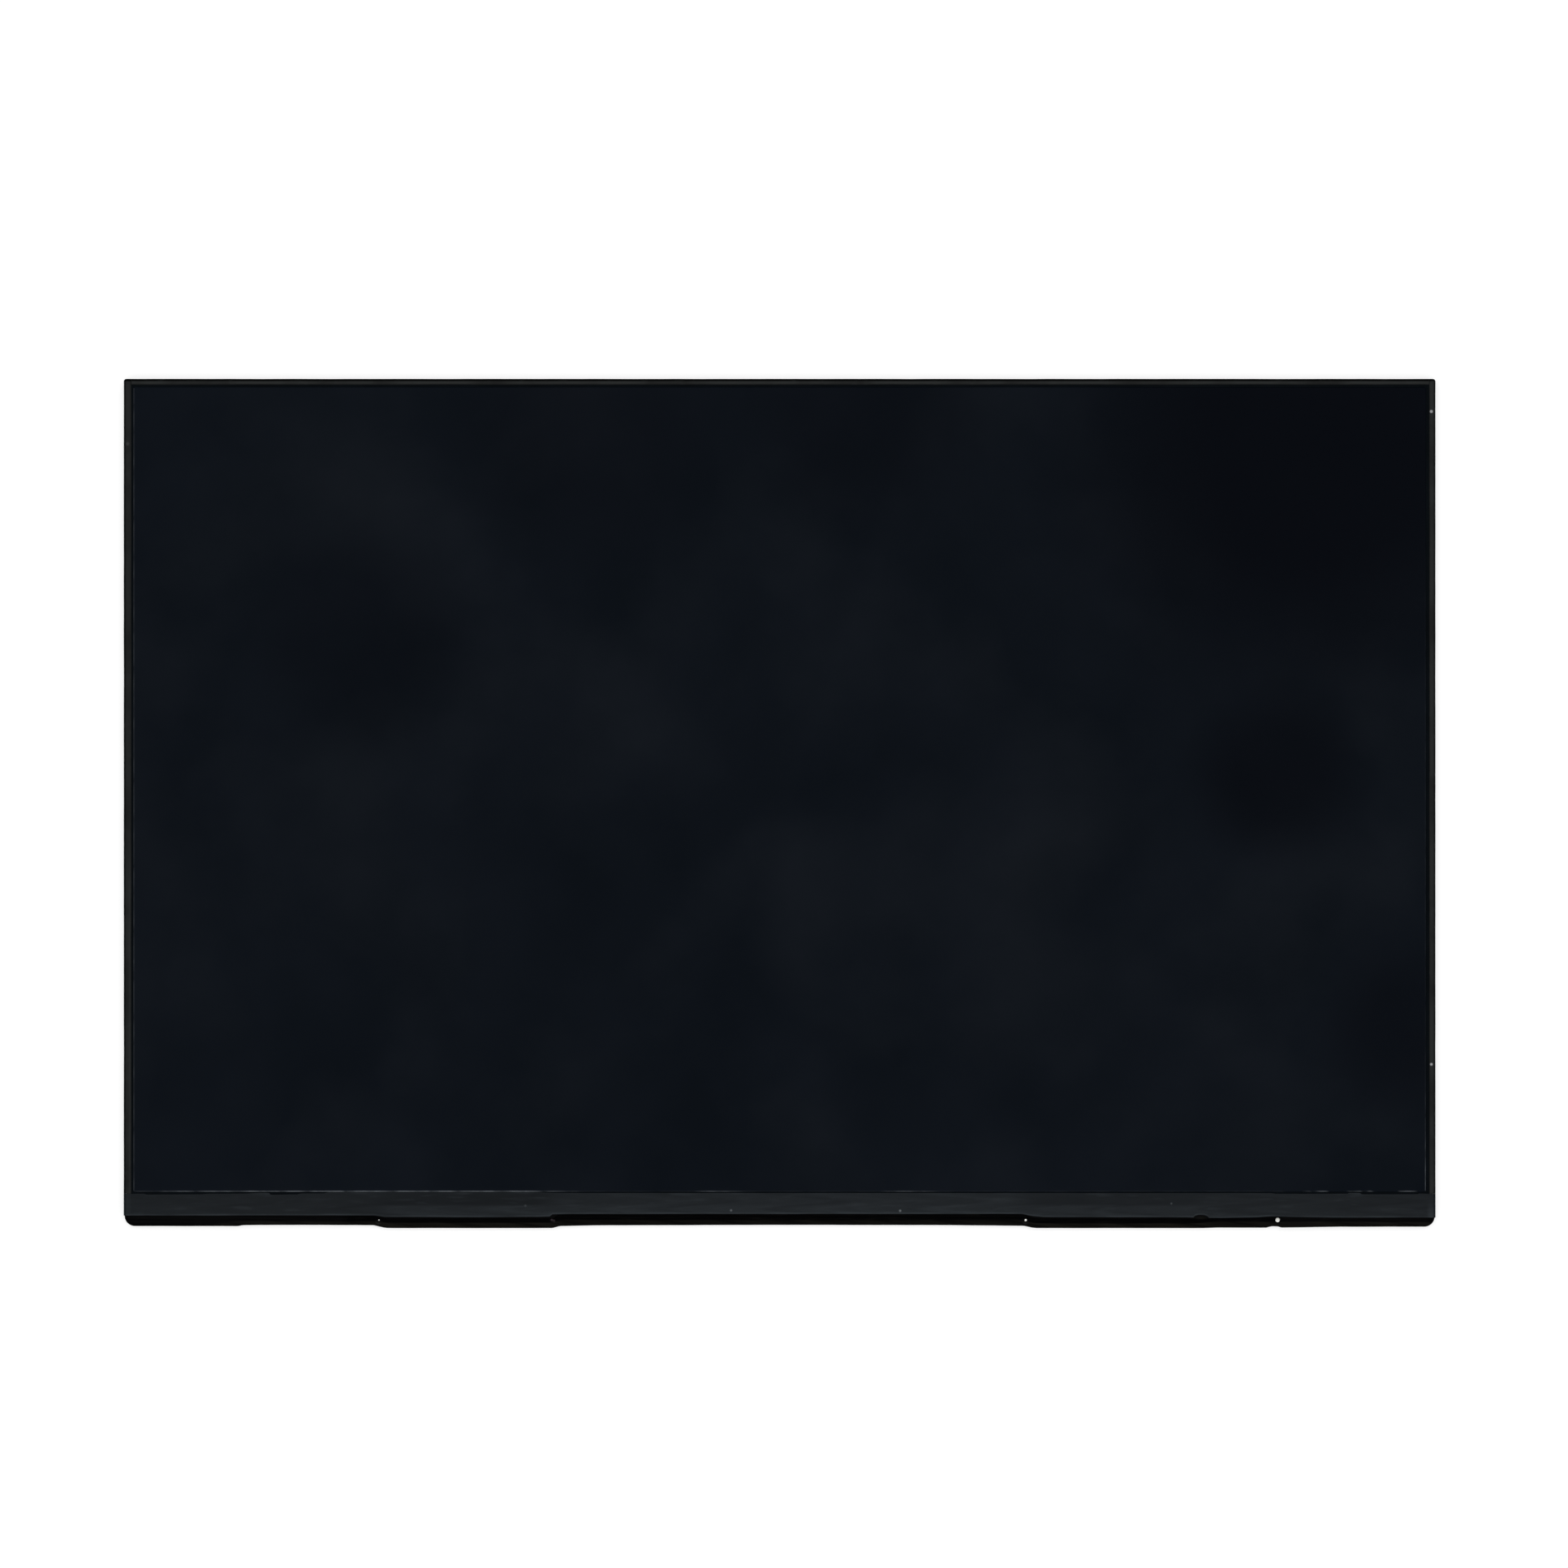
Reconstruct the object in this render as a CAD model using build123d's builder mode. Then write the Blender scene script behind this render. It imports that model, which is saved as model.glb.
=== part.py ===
from build123d import *
from math import asin, atan2, hypot, radians, tan
import os

os.makedirs("parts", exist_ok=True)

# A laptop screen panel of the 14 inch class, lying on its back with the screen up.
# X runs to the right of the screen, Y to its top edge, Z out of the screen. Lengths are in millimetres.

# Screen face: a picture of 16 by 10 under a slightly larger front polariser.
active_width = 301.6
active_height = 188.5
polariser_side_margin = 0.95
polariser_end_margin = 0.2
sheet_corner_radius = 0.3

# Borders that show round the polariser, out to the outline.
side_border = 2.3
top_border = 2.0
side_groove = 0.55
top_groove = 0.45
ledge_groove = 0.5
ledge_band = 5.0
nose_reach = 2.4
film_bulge = 0.75
film_tab = 0.65
top_corner_radius = 0.8
nose_corner_radius = 2.4

# Thickness of each layer, from the back to the front.
cover_film_t = 0.1
board_part_room = 0.95
board_t = 0.5
board_tape_t = 0.1
tray_t = 0.25
reflector_t = 0.15
guide_t = 0.55
diffuser_t = 0.1
lower_prism_t = 0.12
upper_prism_t = 0.14
cell_gap = 0.04
rear_polariser_t = 0.12
tft_t = 0.25
filter_t = 0.25
front_polariser_t = 0.14
bond_tape_t = 0.1
tape_t = 0.1
flex_t = 0.08

# Clearances.
frame_gap = 0.05
sheet_gap = 0.1
lamp_gap = 0.05
flex_gap = 0.05
wrap_gap = 0.03
butt_gap = 0.05
hook_gap = 0.1
cut_over = 1.0

# Levels.
parts_back_z = cover_film_t
board_back_z = parts_back_z + board_part_room
tray_back_z = board_back_z + board_t + board_tape_t
tray_floor_z = tray_back_z + tray_t
guide_back_z = tray_floor_z + reflector_t
guide_front_z = guide_back_z + guide_t
diffuser_front_z = guide_front_z + diffuser_t
lower_prism_front_z = diffuser_front_z + lower_prism_t
upper_prism_front_z = lower_prism_front_z + upper_prism_t
rear_polariser_z = upper_prism_front_z + cell_gap
tft_back_z = rear_polariser_z + rear_polariser_t
tft_front_z = tft_back_z + tft_t
filter_front_z = tft_front_z + filter_t
frame_front_z = tft_back_z - bond_tape_t

# Plan of the front. The Y origin is halfway down the outline.
polariser_width = active_width + 2 * polariser_side_margin
polariser_height = active_height + 2 * polariser_end_margin
panel_width = polariser_width + 2 * side_border
panel_height = top_border + polariser_height + ledge_groove + ledge_band + nose_reach + film_bulge
side_x = panel_width / 2
top_y = panel_height / 2
screen_top_y = top_y - top_border
screen_low_y = screen_top_y - polariser_height
band_top_y = screen_low_y - ledge_groove
fold_y = band_top_y - ledge_band
nose_y = fold_y - nose_reach
bulge_y = nose_y - film_bulge

# Rear cover: a tray pressed from sheet, with rims folded up on four sides.
tray_setback = 0.35
rim_height = 1.2
rim_relief = 2.2
rim_bend_radius = 0.35
tray_corner_radius = 0.5
tray_x = side_x - tape_t
tray_top_y = top_y - tape_t
tray_low_y = fold_y + tray_setback
field_side_margin = 9.0
field_top_margin = 9.5
field_low_margin = 24.0
field_depth = 0.3
field_corner_radius = 6.0
field_draft = 45
bead_end_margin = 29.0
bead_width = 5.0
bead_pitch = 36.0
hook_length = 6.0
hook_height = 0.5
hook_rise = 0.5
side_hook_count = 4
side_hook_pitch = 46.0
top_hook_count = 5
top_hook_pitch = 62.0

# Mould frame: a white plastic ring that holds the stack of sheets.
frame_side_wall = 1.25
frame_top_wall = 1.05
frame_low_wall = 0.9
frame_corner_radius = 0.6
roof_reach = 2.45
ear_length = 8.0
ear_depth = 0.6
ear_pitch = 118.0
frame_x = tray_x - tray_t - frame_gap
frame_top_y = tray_top_y - tray_t - frame_gap
frame_low_y = tray_low_y + tray_t + frame_gap
well_x = frame_x - frame_side_wall
well_top_y = frame_top_y - frame_top_wall
well_low_y = frame_low_y + frame_low_wall
roof_y = well_low_y + roof_reach
sheet_x = well_x - sheet_gap
sheet_top_y = well_top_y - sheet_gap

# Row of lamps on a flexible board along the lower edge of the light guide.
lamp_board_height = 2.6
lamp_pitch = 6.7
lamp_end_clear = 3.0
lamp_width = 3.2
lamp_depth = 0.85
lamp_inset = 0.8
lamp_window_rim = 0.12
lamp_window_depth = 0.1
tail_x = 24.0
tail_width = 8.0
tail_bend_radius = 0.75
tail_reach = 1.45
tail_side_gap = 0.4
film_edge_gap = 0.2
lamp_board_low_y = well_low_y + lamp_gap
lamp_board_top_y = lamp_board_low_y + lamp_board_height
lamp_low_y = lamp_board_low_y + lamp_inset
guide_low_y = lamp_low_y + lamp_depth + lamp_gap
films_low_y = lamp_board_top_y + film_edge_gap
lamp_count = int((2 * (sheet_x - lamp_end_clear) - lamp_width) / lamp_pitch) + 1

# Liquid-crystal cell: two sheets of glass; the back one is longer and makes the ledge for the films.
glass_side_setback = 0.55
glass_top_setback = 0.4
glass_corner_chamfer = 0.6
filter_overlap = 1.4
glass_x = tray_x - glass_side_setback
glass_top_y = tray_top_y - glass_top_setback
tft_low_y = tray_low_y
filter_low_y = band_top_y - filter_overlap
bond_setback = 0.1

# Driver films folded round the lower edge, one to the left and one to the right.
film_width = 37.6
film_pitch = 151.9
film_offset_x = 3.1
film_bond = 1.4
film_board_lap = 2.1
film_slack = 0.15
bulge_ramp = 1.5
fold_radius = 1.0
nose_radius = 0.75
chip_length = 24.0
chip_depth = 1.3
chip_height = 0.4
film_centres = (film_offset_x - film_pitch / 2, film_offset_x + film_pitch / 2)
film_half = film_width / 2
bulge_half = film_half + film_slack
ramp_half = bulge_half + bulge_ramp

# Driver board behind the lower edge.
board_end_left = 8.35
board_end_right = 17.1
board_setback = 0.7
board_height = 12.6
board_corner_radius = 1.0
board_tape_margin = 1.4
board_left_x = film_centres[0] - film_half - board_end_left
board_right_x = film_centres[1] + film_half + board_end_right
board_low_y = tray_low_y + board_setback
board_top_y = board_low_y + board_height
board_mid_x = (board_left_x + board_right_x) / 2
board_mid_y = (board_low_y + board_top_y) / 2

# Parts on the back of the driver board, placed from the panel's middle.
part_low_clear = 1.5
part_top_clear = 0.5
controller_size = 7.5
controller_height = 0.75
controller_x = 6.0
memory_length = 3.0
memory_depth = 2.2
memory_x = 14.6
power_size = 5.0
lamp_driver_size = 4.0
flat_chip_height = 0.7
lamp_driver_x = 42.0
power_x = 63.0
inductor_size = 3.0
inductor_radius = 0.6
inductor_xs = (50.5, 71.0, 79.5)
chip_corner_chamfer = 0.4
capacitor_length = 1.6
capacitor_depth = 0.8
capacitor_height = 0.8
capacitor_pitch = 3.4
capacitor_row_xs = (-66.0, 53.0)
capacitor_row_counts = (9, 12)
resistor_length = 1.0
resistor_depth = 0.5
resistor_height = 0.35
resistor_pitch = 1.6
resistor_rise = 2.4
resistor_row_xs = (-66.0, 20.0, 86.0)
resistor_row_counts = (12, 2, 3)

# Signal socket, its mouth towards the middle of the panel.
contact_count = 30
contact_pitch = 0.5
contact_width = 0.2
contact_t = 0.1
contact_rise = 0.12
contact_tail = 0.6
contact_slot_gap = 0.04
socket_x = -22.0
socket_end_wall = 3.0
socket_depth = 4.2
socket_back_wall = 0.2
socket_front_wall = 0.15
socket_mouth_depth = 2.7
socket_mouth_margin = 1.5
socket_edge = 0.3
shell_t = 0.1
shell_foot_length = 1.0
shell_foot_reach = 0.6
socket_length = (contact_count - 1) * contact_pitch + 2 * socket_end_wall
socket_mouth_y = board_top_y - socket_edge
socket_rear_y = socket_mouth_y - socket_depth
socket_back_z = parts_back_z + shell_t

# Lamp socket: a low connector that takes the lamp board's tail.
lamp_socket_wall = 0.5
lamp_socket_depth = 2.4
lamp_socket_height = 0.8
lamp_socket_bite = 1.6
lamp_socket_rise = 4.4

# Board cover film and the wrap's way over the board ends.
cover_clear = 1.2
cover_flange = 4.0
cover_draft = 45
cover_low_lap = 2.2
cover_low_inset = 0.3
cover_corner_radius = 2.5
cover_edge_radius = 0.6
socket_window_gap = 1.4
end_ramp = 2.0
end_clear = 0.5
wrap_front_lap = 2.2
wrap_back_lap = 2.1

# Rim tapes.
tape_fold_radius = 0.35
tape_back_lap = 3.0

# Pegs of the mould frame that stand through the wrap beside the films and the board's end.
peg_diameter = 1.0
peg_hole_gap = 0.1
peg_ramp_clear = 0.8
peg_board_clear = 2.05
peg_setback = 1.2
peg_height = 0.85
peg_arm_width = 1.2
peg_arm_height = 0.5
peg_arm_gap = 0.3
peg_y = fold_y - peg_setback
peg_xs = (
    film_centres[0] - ramp_half - peg_ramp_clear,
    film_centres[1] - ramp_half - peg_ramp_clear,
    board_right_x + peg_board_clear,
)

# Levels of the folded films, taken at their outer faces.
film_front_z = tft_front_z + flex_t
film_back_z = board_back_z - flex_t
wrap_front_z = film_front_z + wrap_gap + tape_t
wrap_back_z = film_back_z - wrap_gap - tape_t
wrap_end_z = tray_back_z - 2 * tape_t
film_inset = tape_t + wrap_gap
film_nose_y = bulge_y + film_inset
lamp_board_front_z = guide_front_z + flex_t


def keep(builder, name):
    """Label a finished piece and write its STEP file."""
    builder.part.label = name
    export_step(builder.part, f"parts/{name}.step")


def slab(left, right, low, top, back, front, mode=Mode.ADD):
    """A rectangular block between six limits, inside the part being built."""
    with BuildSketch(Plane.XY.offset(back), mode=Mode.PRIVATE) as outline:
        with Locations(((left + right) / 2, (low + top) / 2)):
            Rectangle(right - left, top - low)
    extrude(outline.sketch, amount=front - back, mode=mode)


def nose_points(turn_y, tip_y, back_z, start_y, end_y, inset=0):
    """Corners, in Y and Z, of a film folded round the lower edge, along its outer face.

    The wrap leaves the front flat, turns down at turn_y, runs straight to a round nose that just
    reaches tip_y, and comes back flat along the back. A film under it keeps inset inside that line.
    """
    centre_y = tip_y + nose_radius
    centre_z = back_z + nose_radius
    reach = hypot(turn_y - centre_y, wrap_front_z - centre_z)
    slope = atan2(wrap_front_z - centre_z, turn_y - centre_y) - asin(nose_radius / reach)
    corner_y = turn_y - (wrap_front_z - back_z) / tan(slope)
    return (
        (start_y, wrap_front_z - inset),
        (turn_y + inset * tan(slope / 2), wrap_front_z - inset),
        (corner_y + inset / tan(slope / 2), back_z + inset),
        (end_y, back_z + inset),
    )


def folded_section(x, corners, thickness, inset=0):
    """The cut face of a folded film at one place along the edge."""
    with BuildSketch(Plane.YZ.offset(x)) as section:
        with BuildLine():
            FilletPolyline(*corners, radius=(fold_radius - inset, nose_radius - inset))
            offset(amount=thickness, side=Side.LEFT)
        make_face()
    return section.sketch


def eared_sheet(name, low_y, back_z, thickness):
    """One sheet of the stack, with four ears that sit in the frame's pockets."""
    with BuildPart() as sheet:
        slab(-sheet_x, sheet_x, low_y, sheet_top_y, back_z, back_z + thickness)
        with BuildSketch(Plane.XY.offset(back_z)):
            with GridLocations(2 * sheet_x, ear_pitch, 2, 2):
                Rectangle(2 * ear_depth, ear_length)
        extrude(amount=thickness)
    keep(sheet, name)


# Rear cover
tray_mid_y = (tray_top_y + tray_low_y) / 2
tray_height = tray_top_y - tray_low_y
field_top_y = tray_top_y - field_top_margin
field_low_y = tray_low_y + field_low_margin
field_mid_y = (field_top_y + field_low_y) / 2
field_width = 2 * (tray_x - field_side_margin)
field_height = field_top_y - field_low_y
bead_length = field_width - 2 * bead_end_margin
bead_count = int(field_height / bead_pitch)
draft_shift = tray_t / tan(radians(field_draft)) - tray_t * tan(radians(field_draft / 2))
with BuildPart() as rear_cover:
    with BuildSketch(Plane.XY.offset(tray_back_z)):
        with Locations((0, tray_mid_y)):
            RectangleRounded(2 * tray_x, tray_height, tray_corner_radius)
    extrude(amount=tray_t)
    with BuildSketch(Plane.XY.offset(tray_back_z)):
        with Locations((0, tray_mid_y)):
            RectangleRounded(2 * tray_x, tray_height, tray_corner_radius)
            Rectangle(2 * (tray_x - tray_t), tray_height - 2 * tray_t, mode=Mode.SUBTRACT)
    extrude(amount=rim_height)
    fillet(rear_cover.faces().sort_by(Axis.Z)[0].outer_wire().edges(), rim_bend_radius)
    # open corners between the folded rims
    with BuildSketch(Plane.XY.offset(tray_floor_z)):
        with Locations((0, tray_mid_y)):
            with GridLocations(2 * tray_x, tray_height, 2, 2):
                Rectangle(2 * rim_relief, 2 * rim_relief)
    extrude(amount=rim_height, mode=Mode.SUBTRACT)
    # field pressed outwards at the back
    with BuildSketch(Plane.XY.offset(tray_back_z)):
        with Locations((0, field_mid_y)):
            RectangleRounded(field_width, field_height, field_corner_radius)
    extrude(amount=field_depth, dir=(0, 0, -1), taper=field_draft)
    with BuildSketch(Plane.XY.offset(tray_floor_z)):
        with Locations((0, field_mid_y)):
            RectangleRounded(
                field_width - 2 * draft_shift,
                field_height - 2 * draft_shift,
                field_corner_radius - draft_shift,
            )
    extrude(amount=field_depth, dir=(0, 0, -1), taper=field_draft, mode=Mode.SUBTRACT)
    # beads pressed back inwards until they carry the reflector
    with BuildSketch(Plane.XY.offset(tray_floor_z - field_depth)):
        with Locations((0, field_mid_y)):
            with GridLocations(1, bead_pitch, 1, bead_count):
                SlotOverall(bead_length + 2 * draft_shift, bead_width + 2 * draft_shift)
    extrude(amount=field_depth, taper=field_draft)
    with BuildSketch(Plane.XY.offset(tray_back_z - field_depth)):
        with Locations((0, field_mid_y)):
            with GridLocations(1, bead_pitch, 1, bead_count):
                SlotOverall(bead_length, bead_width)
    extrude(amount=field_depth, taper=field_draft, mode=Mode.SUBTRACT)
    # windows in the rims for the frame's hooks
    window_z = tray_floor_z + hook_rise - hook_gap
    with BuildSketch(Plane.XY.offset(window_z)):
        with GridLocations(2 * tray_x, side_hook_pitch, 2, side_hook_count):
            Rectangle(4 * tray_t, hook_length + 2 * hook_gap)
        with Locations((0, tray_top_y)):
            with GridLocations(top_hook_pitch, 1, top_hook_count, 1):
                Rectangle(hook_length + 2 * hook_gap, 4 * tray_t)
    extrude(amount=hook_height + 2 * hook_gap, mode=Mode.SUBTRACT)
    # gaps in the lower rim for the lamp board's tail and the pegs
    for gap_x, gap_half in [(tail_x, tail_width / 2 + tail_side_gap)] + [
        (peg_x, peg_arm_width / 2 + peg_arm_gap) for peg_x in peg_xs
    ]:
        slab(
            gap_x - gap_half, gap_x + gap_half,
            tray_low_y - cut_over, tray_low_y + tray_t + frame_gap / 2,
            tray_floor_z, tray_floor_z + rim_height, mode=Mode.SUBTRACT,
        )
keep(rear_cover, "rear_cover")

# Mould frame
frame_mid_y = (frame_top_y + frame_low_y) / 2
well_mid_y = (well_top_y + well_low_y) / 2
with BuildPart() as mould_frame:
    with BuildSketch(Plane.XY.offset(tray_floor_z)):
        with Locations((0, frame_mid_y)):
            RectangleRounded(2 * frame_x, frame_top_y - frame_low_y, frame_corner_radius)
        with Locations((0, well_mid_y)):
            Rectangle(2 * well_x, well_top_y - well_low_y, mode=Mode.SUBTRACT)
        with GridLocations(2 * well_x, ear_pitch, 2, 2):
            Rectangle(2 * (ear_depth + sheet_gap), ear_length + 2 * sheet_gap, mode=Mode.SUBTRACT)
    extrude(amount=frame_front_z - tray_floor_z)
    # roof over the lamps
    slab(-well_x, well_x, well_low_y, roof_y, lamp_board_front_z + flex_gap, frame_front_z)
    # hooks in the rim windows
    with BuildSketch(Plane.XY.offset(tray_floor_z + hook_rise)):
        with GridLocations(2 * frame_x, side_hook_pitch, 2, side_hook_count):
            Rectangle(2 * (tray_t + frame_gap), hook_length)
        with Locations((0, frame_top_y)):
            with GridLocations(top_hook_pitch, 1, top_hook_count, 1):
                Rectangle(hook_length, 2 * (tray_t + frame_gap))
        with Locations((0, well_mid_y)):
            Rectangle(2 * well_x, well_top_y - well_low_y, mode=Mode.SUBTRACT)
        with GridLocations(2 * well_x, ear_pitch, 2, 2):
            Rectangle(2 * (ear_depth + sheet_gap), ear_length + 2 * sheet_gap, mode=Mode.SUBTRACT)
    extrude(amount=hook_height)
    # slot that lets the lamp board's tail out
    slab(
        tail_x - tail_width / 2 - tail_side_gap, tail_x + tail_width / 2 + tail_side_gap,
        frame_low_y - cut_over, well_low_y + cut_over,
        guide_front_z - flex_gap, lamp_board_front_z + flex_gap, mode=Mode.SUBTRACT,
    )
    # pegs on short arms
    for peg_x in peg_xs:
        slab(
            peg_x - peg_arm_width / 2, peg_x + peg_arm_width / 2,
            peg_y, frame_low_y + frame_low_wall / 2,
            tray_floor_z + frame_gap, tray_floor_z + frame_gap + peg_arm_height,
        )
        with BuildSketch(Plane.XY.offset(tray_floor_z + frame_gap)):
            with Locations((peg_x, peg_y)):
                Circle(peg_diameter / 2)
        extrude(amount=peg_height)
keep(mould_frame, "mould_frame")

# Backlight sheets
with BuildPart() as reflector_sheet:
    slab(-sheet_x, sheet_x, lamp_board_low_y, sheet_top_y, tray_floor_z, guide_back_z)
keep(reflector_sheet, "reflector_sheet")
eared_sheet("light_guide", guide_low_y, guide_back_z, guide_t)
eared_sheet("diffuser_sheet", films_low_y, guide_front_z, diffuser_t)
eared_sheet("lower_prism_sheet", films_low_y, diffuser_front_z, lower_prism_t)
eared_sheet("upper_prism_sheet", films_low_y, lower_prism_front_z, upper_prism_t)

# Lamp board with its tail, and the lamps
lamp_socket_low_y = board_low_y + lamp_socket_rise
tail_out_y = tray_low_y - tail_reach
with BuildPart() as lamp_board:
    slab(-sheet_x, sheet_x, lamp_board_low_y, lamp_board_top_y, guide_front_z, lamp_board_front_z)
    with BuildSketch(Plane.YZ.offset(tail_x - tail_width / 2)):
        with BuildLine():
            FilletPolyline(
                (lamp_board_low_y + lamp_inset, lamp_board_front_z),
                (tail_out_y, lamp_board_front_z),
                (tail_out_y, film_back_z),
                (lamp_socket_low_y + lamp_socket_bite - lamp_gap, film_back_z),
                radius=tail_bend_radius,
            )
            offset(amount=flex_t, side=Side.LEFT)
        make_face()
    extrude(amount=tail_width)
keep(lamp_board, "lamp_board")

with BuildPart() as lamps:
    with BuildSketch(Plane.XY.offset(guide_back_z)):
        with Locations((0, lamp_low_y + lamp_depth / 2)):
            with GridLocations(lamp_pitch, 1, lamp_count, 1):
                Rectangle(lamp_width, lamp_depth)
    extrude(amount=guide_t)
    with BuildSketch(Plane.XZ.offset(-lamp_low_y - lamp_depth)):
        with Locations((0, guide_back_z + guide_t / 2)):
            with GridLocations(lamp_pitch, 1, lamp_count, 1):
                Rectangle(lamp_width - 2 * lamp_window_rim, guide_t - 2 * lamp_window_rim)
    extrude(amount=lamp_window_depth, mode=Mode.SUBTRACT)
keep(lamps, "lamps")

# Liquid-crystal cell
with BuildPart() as cell_bond_tape:
    slab(
        -glass_x + bond_setback, glass_x - bond_setback,
        frame_low_y + bond_setback, glass_top_y - bond_setback,
        frame_front_z, tft_back_z,
    )
    slab(-well_x, well_x, roof_y, well_top_y, frame_front_z, tft_back_z, mode=Mode.SUBTRACT)
keep(cell_bond_tape, "cell_bond_tape")

with BuildPart() as rear_polariser:
    slab(
        -sheet_x, sheet_x, roof_y + sheet_gap, sheet_top_y,
        rear_polariser_z, rear_polariser_z + rear_polariser_t,
    )
keep(rear_polariser, "rear_polariser")

with BuildPart() as tft_glass:
    slab(-glass_x, glass_x, tft_low_y, glass_top_y, tft_back_z, tft_front_z)
    chamfer(tft_glass.edges().filter_by(Axis.Z), glass_corner_chamfer)
keep(tft_glass, "tft_glass")

with BuildPart() as colour_filter_glass:
    slab(-glass_x, glass_x, filter_low_y, glass_top_y, tft_front_z, filter_front_z)
    chamfer(colour_filter_glass.edges().filter_by(Axis.Z), glass_corner_chamfer)
keep(colour_filter_glass, "colour_filter_glass")

with BuildPart() as front_polariser:
    with BuildSketch(Plane.XY.offset(filter_front_z)):
        with Locations((0, (screen_top_y + screen_low_y) / 2)):
            RectangleRounded(polariser_width, polariser_height, sheet_corner_radius)
    extrude(amount=front_polariser_t)
keep(front_polariser, "front_polariser")

# Driver films and their chips
film_start_y = tft_low_y + film_bond
film_end_y = board_low_y + film_board_lap
film_corners = nose_points(
    fold_y - film_tab, bulge_y, wrap_back_z, film_start_y, film_end_y, film_inset
)
chip_mid_y = (film_nose_y + nose_radius + board_low_y) / 2
for side, film_x in zip(("left", "right"), film_centres):
    with BuildPart() as driver_film:
        film_section = folded_section(film_x - film_half, film_corners, flex_t, film_inset)
        extrude(film_section, amount=film_width)
    keep(driver_film, f"driver_film_{side}")
    with BuildPart() as driver_chip:
        slab(
            film_x - chip_length / 2, film_x + chip_length / 2,
            chip_mid_y - chip_depth / 2, chip_mid_y + chip_depth / 2,
            board_back_z, board_back_z + chip_height,
        )
    keep(driver_chip, f"driver_chip_{side}")

# Driver board and the tape that holds it
with BuildPart() as driver_board:
    with BuildSketch(Plane.XY.offset(board_back_z)):
        with Locations((board_mid_x, board_mid_y)):
            RectangleRounded(board_right_x - board_left_x, board_height, board_corner_radius)
    extrude(amount=board_t)
keep(driver_board, "driver_board")

with BuildPart() as board_tape:
    slab(
        board_left_x + board_tape_margin, board_right_x - board_tape_margin,
        board_low_y + board_tape_margin, board_top_y - board_tape_margin,
        board_back_z + board_t, tray_back_z,
    )
keep(board_tape, "board_tape")

# Parts on the back of the driver board
board_chips = (
    ("timing_controller", controller_x, controller_size, controller_size, controller_height),
    ("memory_chip", memory_x, memory_length, memory_depth, flat_chip_height),
    ("lamp_driver_chip", lamp_driver_x, lamp_driver_size, lamp_driver_size, flat_chip_height),
    ("power_chip", power_x, power_size, power_size, flat_chip_height),
)
part_mid_y = (film_end_y + part_low_clear + board_top_y - part_top_clear) / 2
for chip_name, chip_x, length, depth, height in board_chips:
    with BuildPart() as board_chip:
        slab(
            chip_x - length / 2, chip_x + length / 2,
            part_mid_y - depth / 2, part_mid_y + depth / 2,
            board_back_z - height, board_back_z,
        )
        chamfer(board_chip.edges().filter_by(Axis.Z).sort_by(Axis.X)[:1], chip_corner_chamfer)
    keep(board_chip, chip_name)

with BuildPart() as power_inductors:
    with BuildSketch(Plane.XY.offset(parts_back_z)):
        with Locations(*[(inductor_x, part_mid_y) for inductor_x in inductor_xs]):
            RectangleRounded(inductor_size, inductor_size, inductor_radius)
    extrude(amount=board_part_room)
keep(power_inductors, "power_inductors")

part_row_y = board_top_y - 2 * capacitor_depth
with BuildPart() as capacitors:
    for row_x, row_count in zip(capacitor_row_xs, capacitor_row_counts):
        with BuildSketch(Plane.XY.offset(board_back_z - capacitor_height)):
            with Locations((row_x, part_row_y)):
                with GridLocations(capacitor_pitch, 1, row_count, 1):
                    Rectangle(capacitor_length, capacitor_depth)
        extrude(amount=capacitor_height)
keep(capacitors, "capacitors")

with BuildPart() as resistors:
    for row_x, row_count in zip(resistor_row_xs, resistor_row_counts):
        with BuildSketch(Plane.XY.offset(board_back_z - resistor_height)):
            with Locations((row_x, part_row_y - resistor_rise)):
                with GridLocations(resistor_pitch, 1, row_count, 1):
                    Rectangle(resistor_depth, resistor_length)
        extrude(amount=resistor_height)
keep(resistors, "resistors")

# Signal socket
contact_half_span = (contact_count - 1) * contact_pitch / 2
mouth_low_y = socket_mouth_y - socket_mouth_depth
mouth_back_z = socket_back_z + socket_back_wall
mouth_front_z = board_back_z - socket_front_wall
with BuildPart() as signal_socket_housing:
    slab(
        socket_x - socket_length / 2, socket_x + socket_length / 2,
        socket_rear_y, socket_mouth_y, socket_back_z, board_back_z,
    )
    slab(
        socket_x - socket_length / 2 + socket_mouth_margin,
        socket_x + socket_length / 2 - socket_mouth_margin,
        mouth_low_y, socket_mouth_y + cut_over, mouth_back_z, mouth_front_z, mode=Mode.SUBTRACT,
    )
    # one channel for each contact, open to the board
    channel_back_z = board_back_z - contact_t - contact_rise - contact_slot_gap
    with BuildSketch(Plane.XZ.offset(-socket_rear_y)):
        with Locations((socket_x, (channel_back_z + board_back_z) / 2)):
            with GridLocations(contact_pitch, 1, contact_count, 1):
                Rectangle(contact_width + 2 * contact_slot_gap, board_back_z - channel_back_z)
    extrude(amount=-(socket_depth - socket_edge), mode=Mode.SUBTRACT)
keep(signal_socket_housing, "signal_socket_housing")

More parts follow.
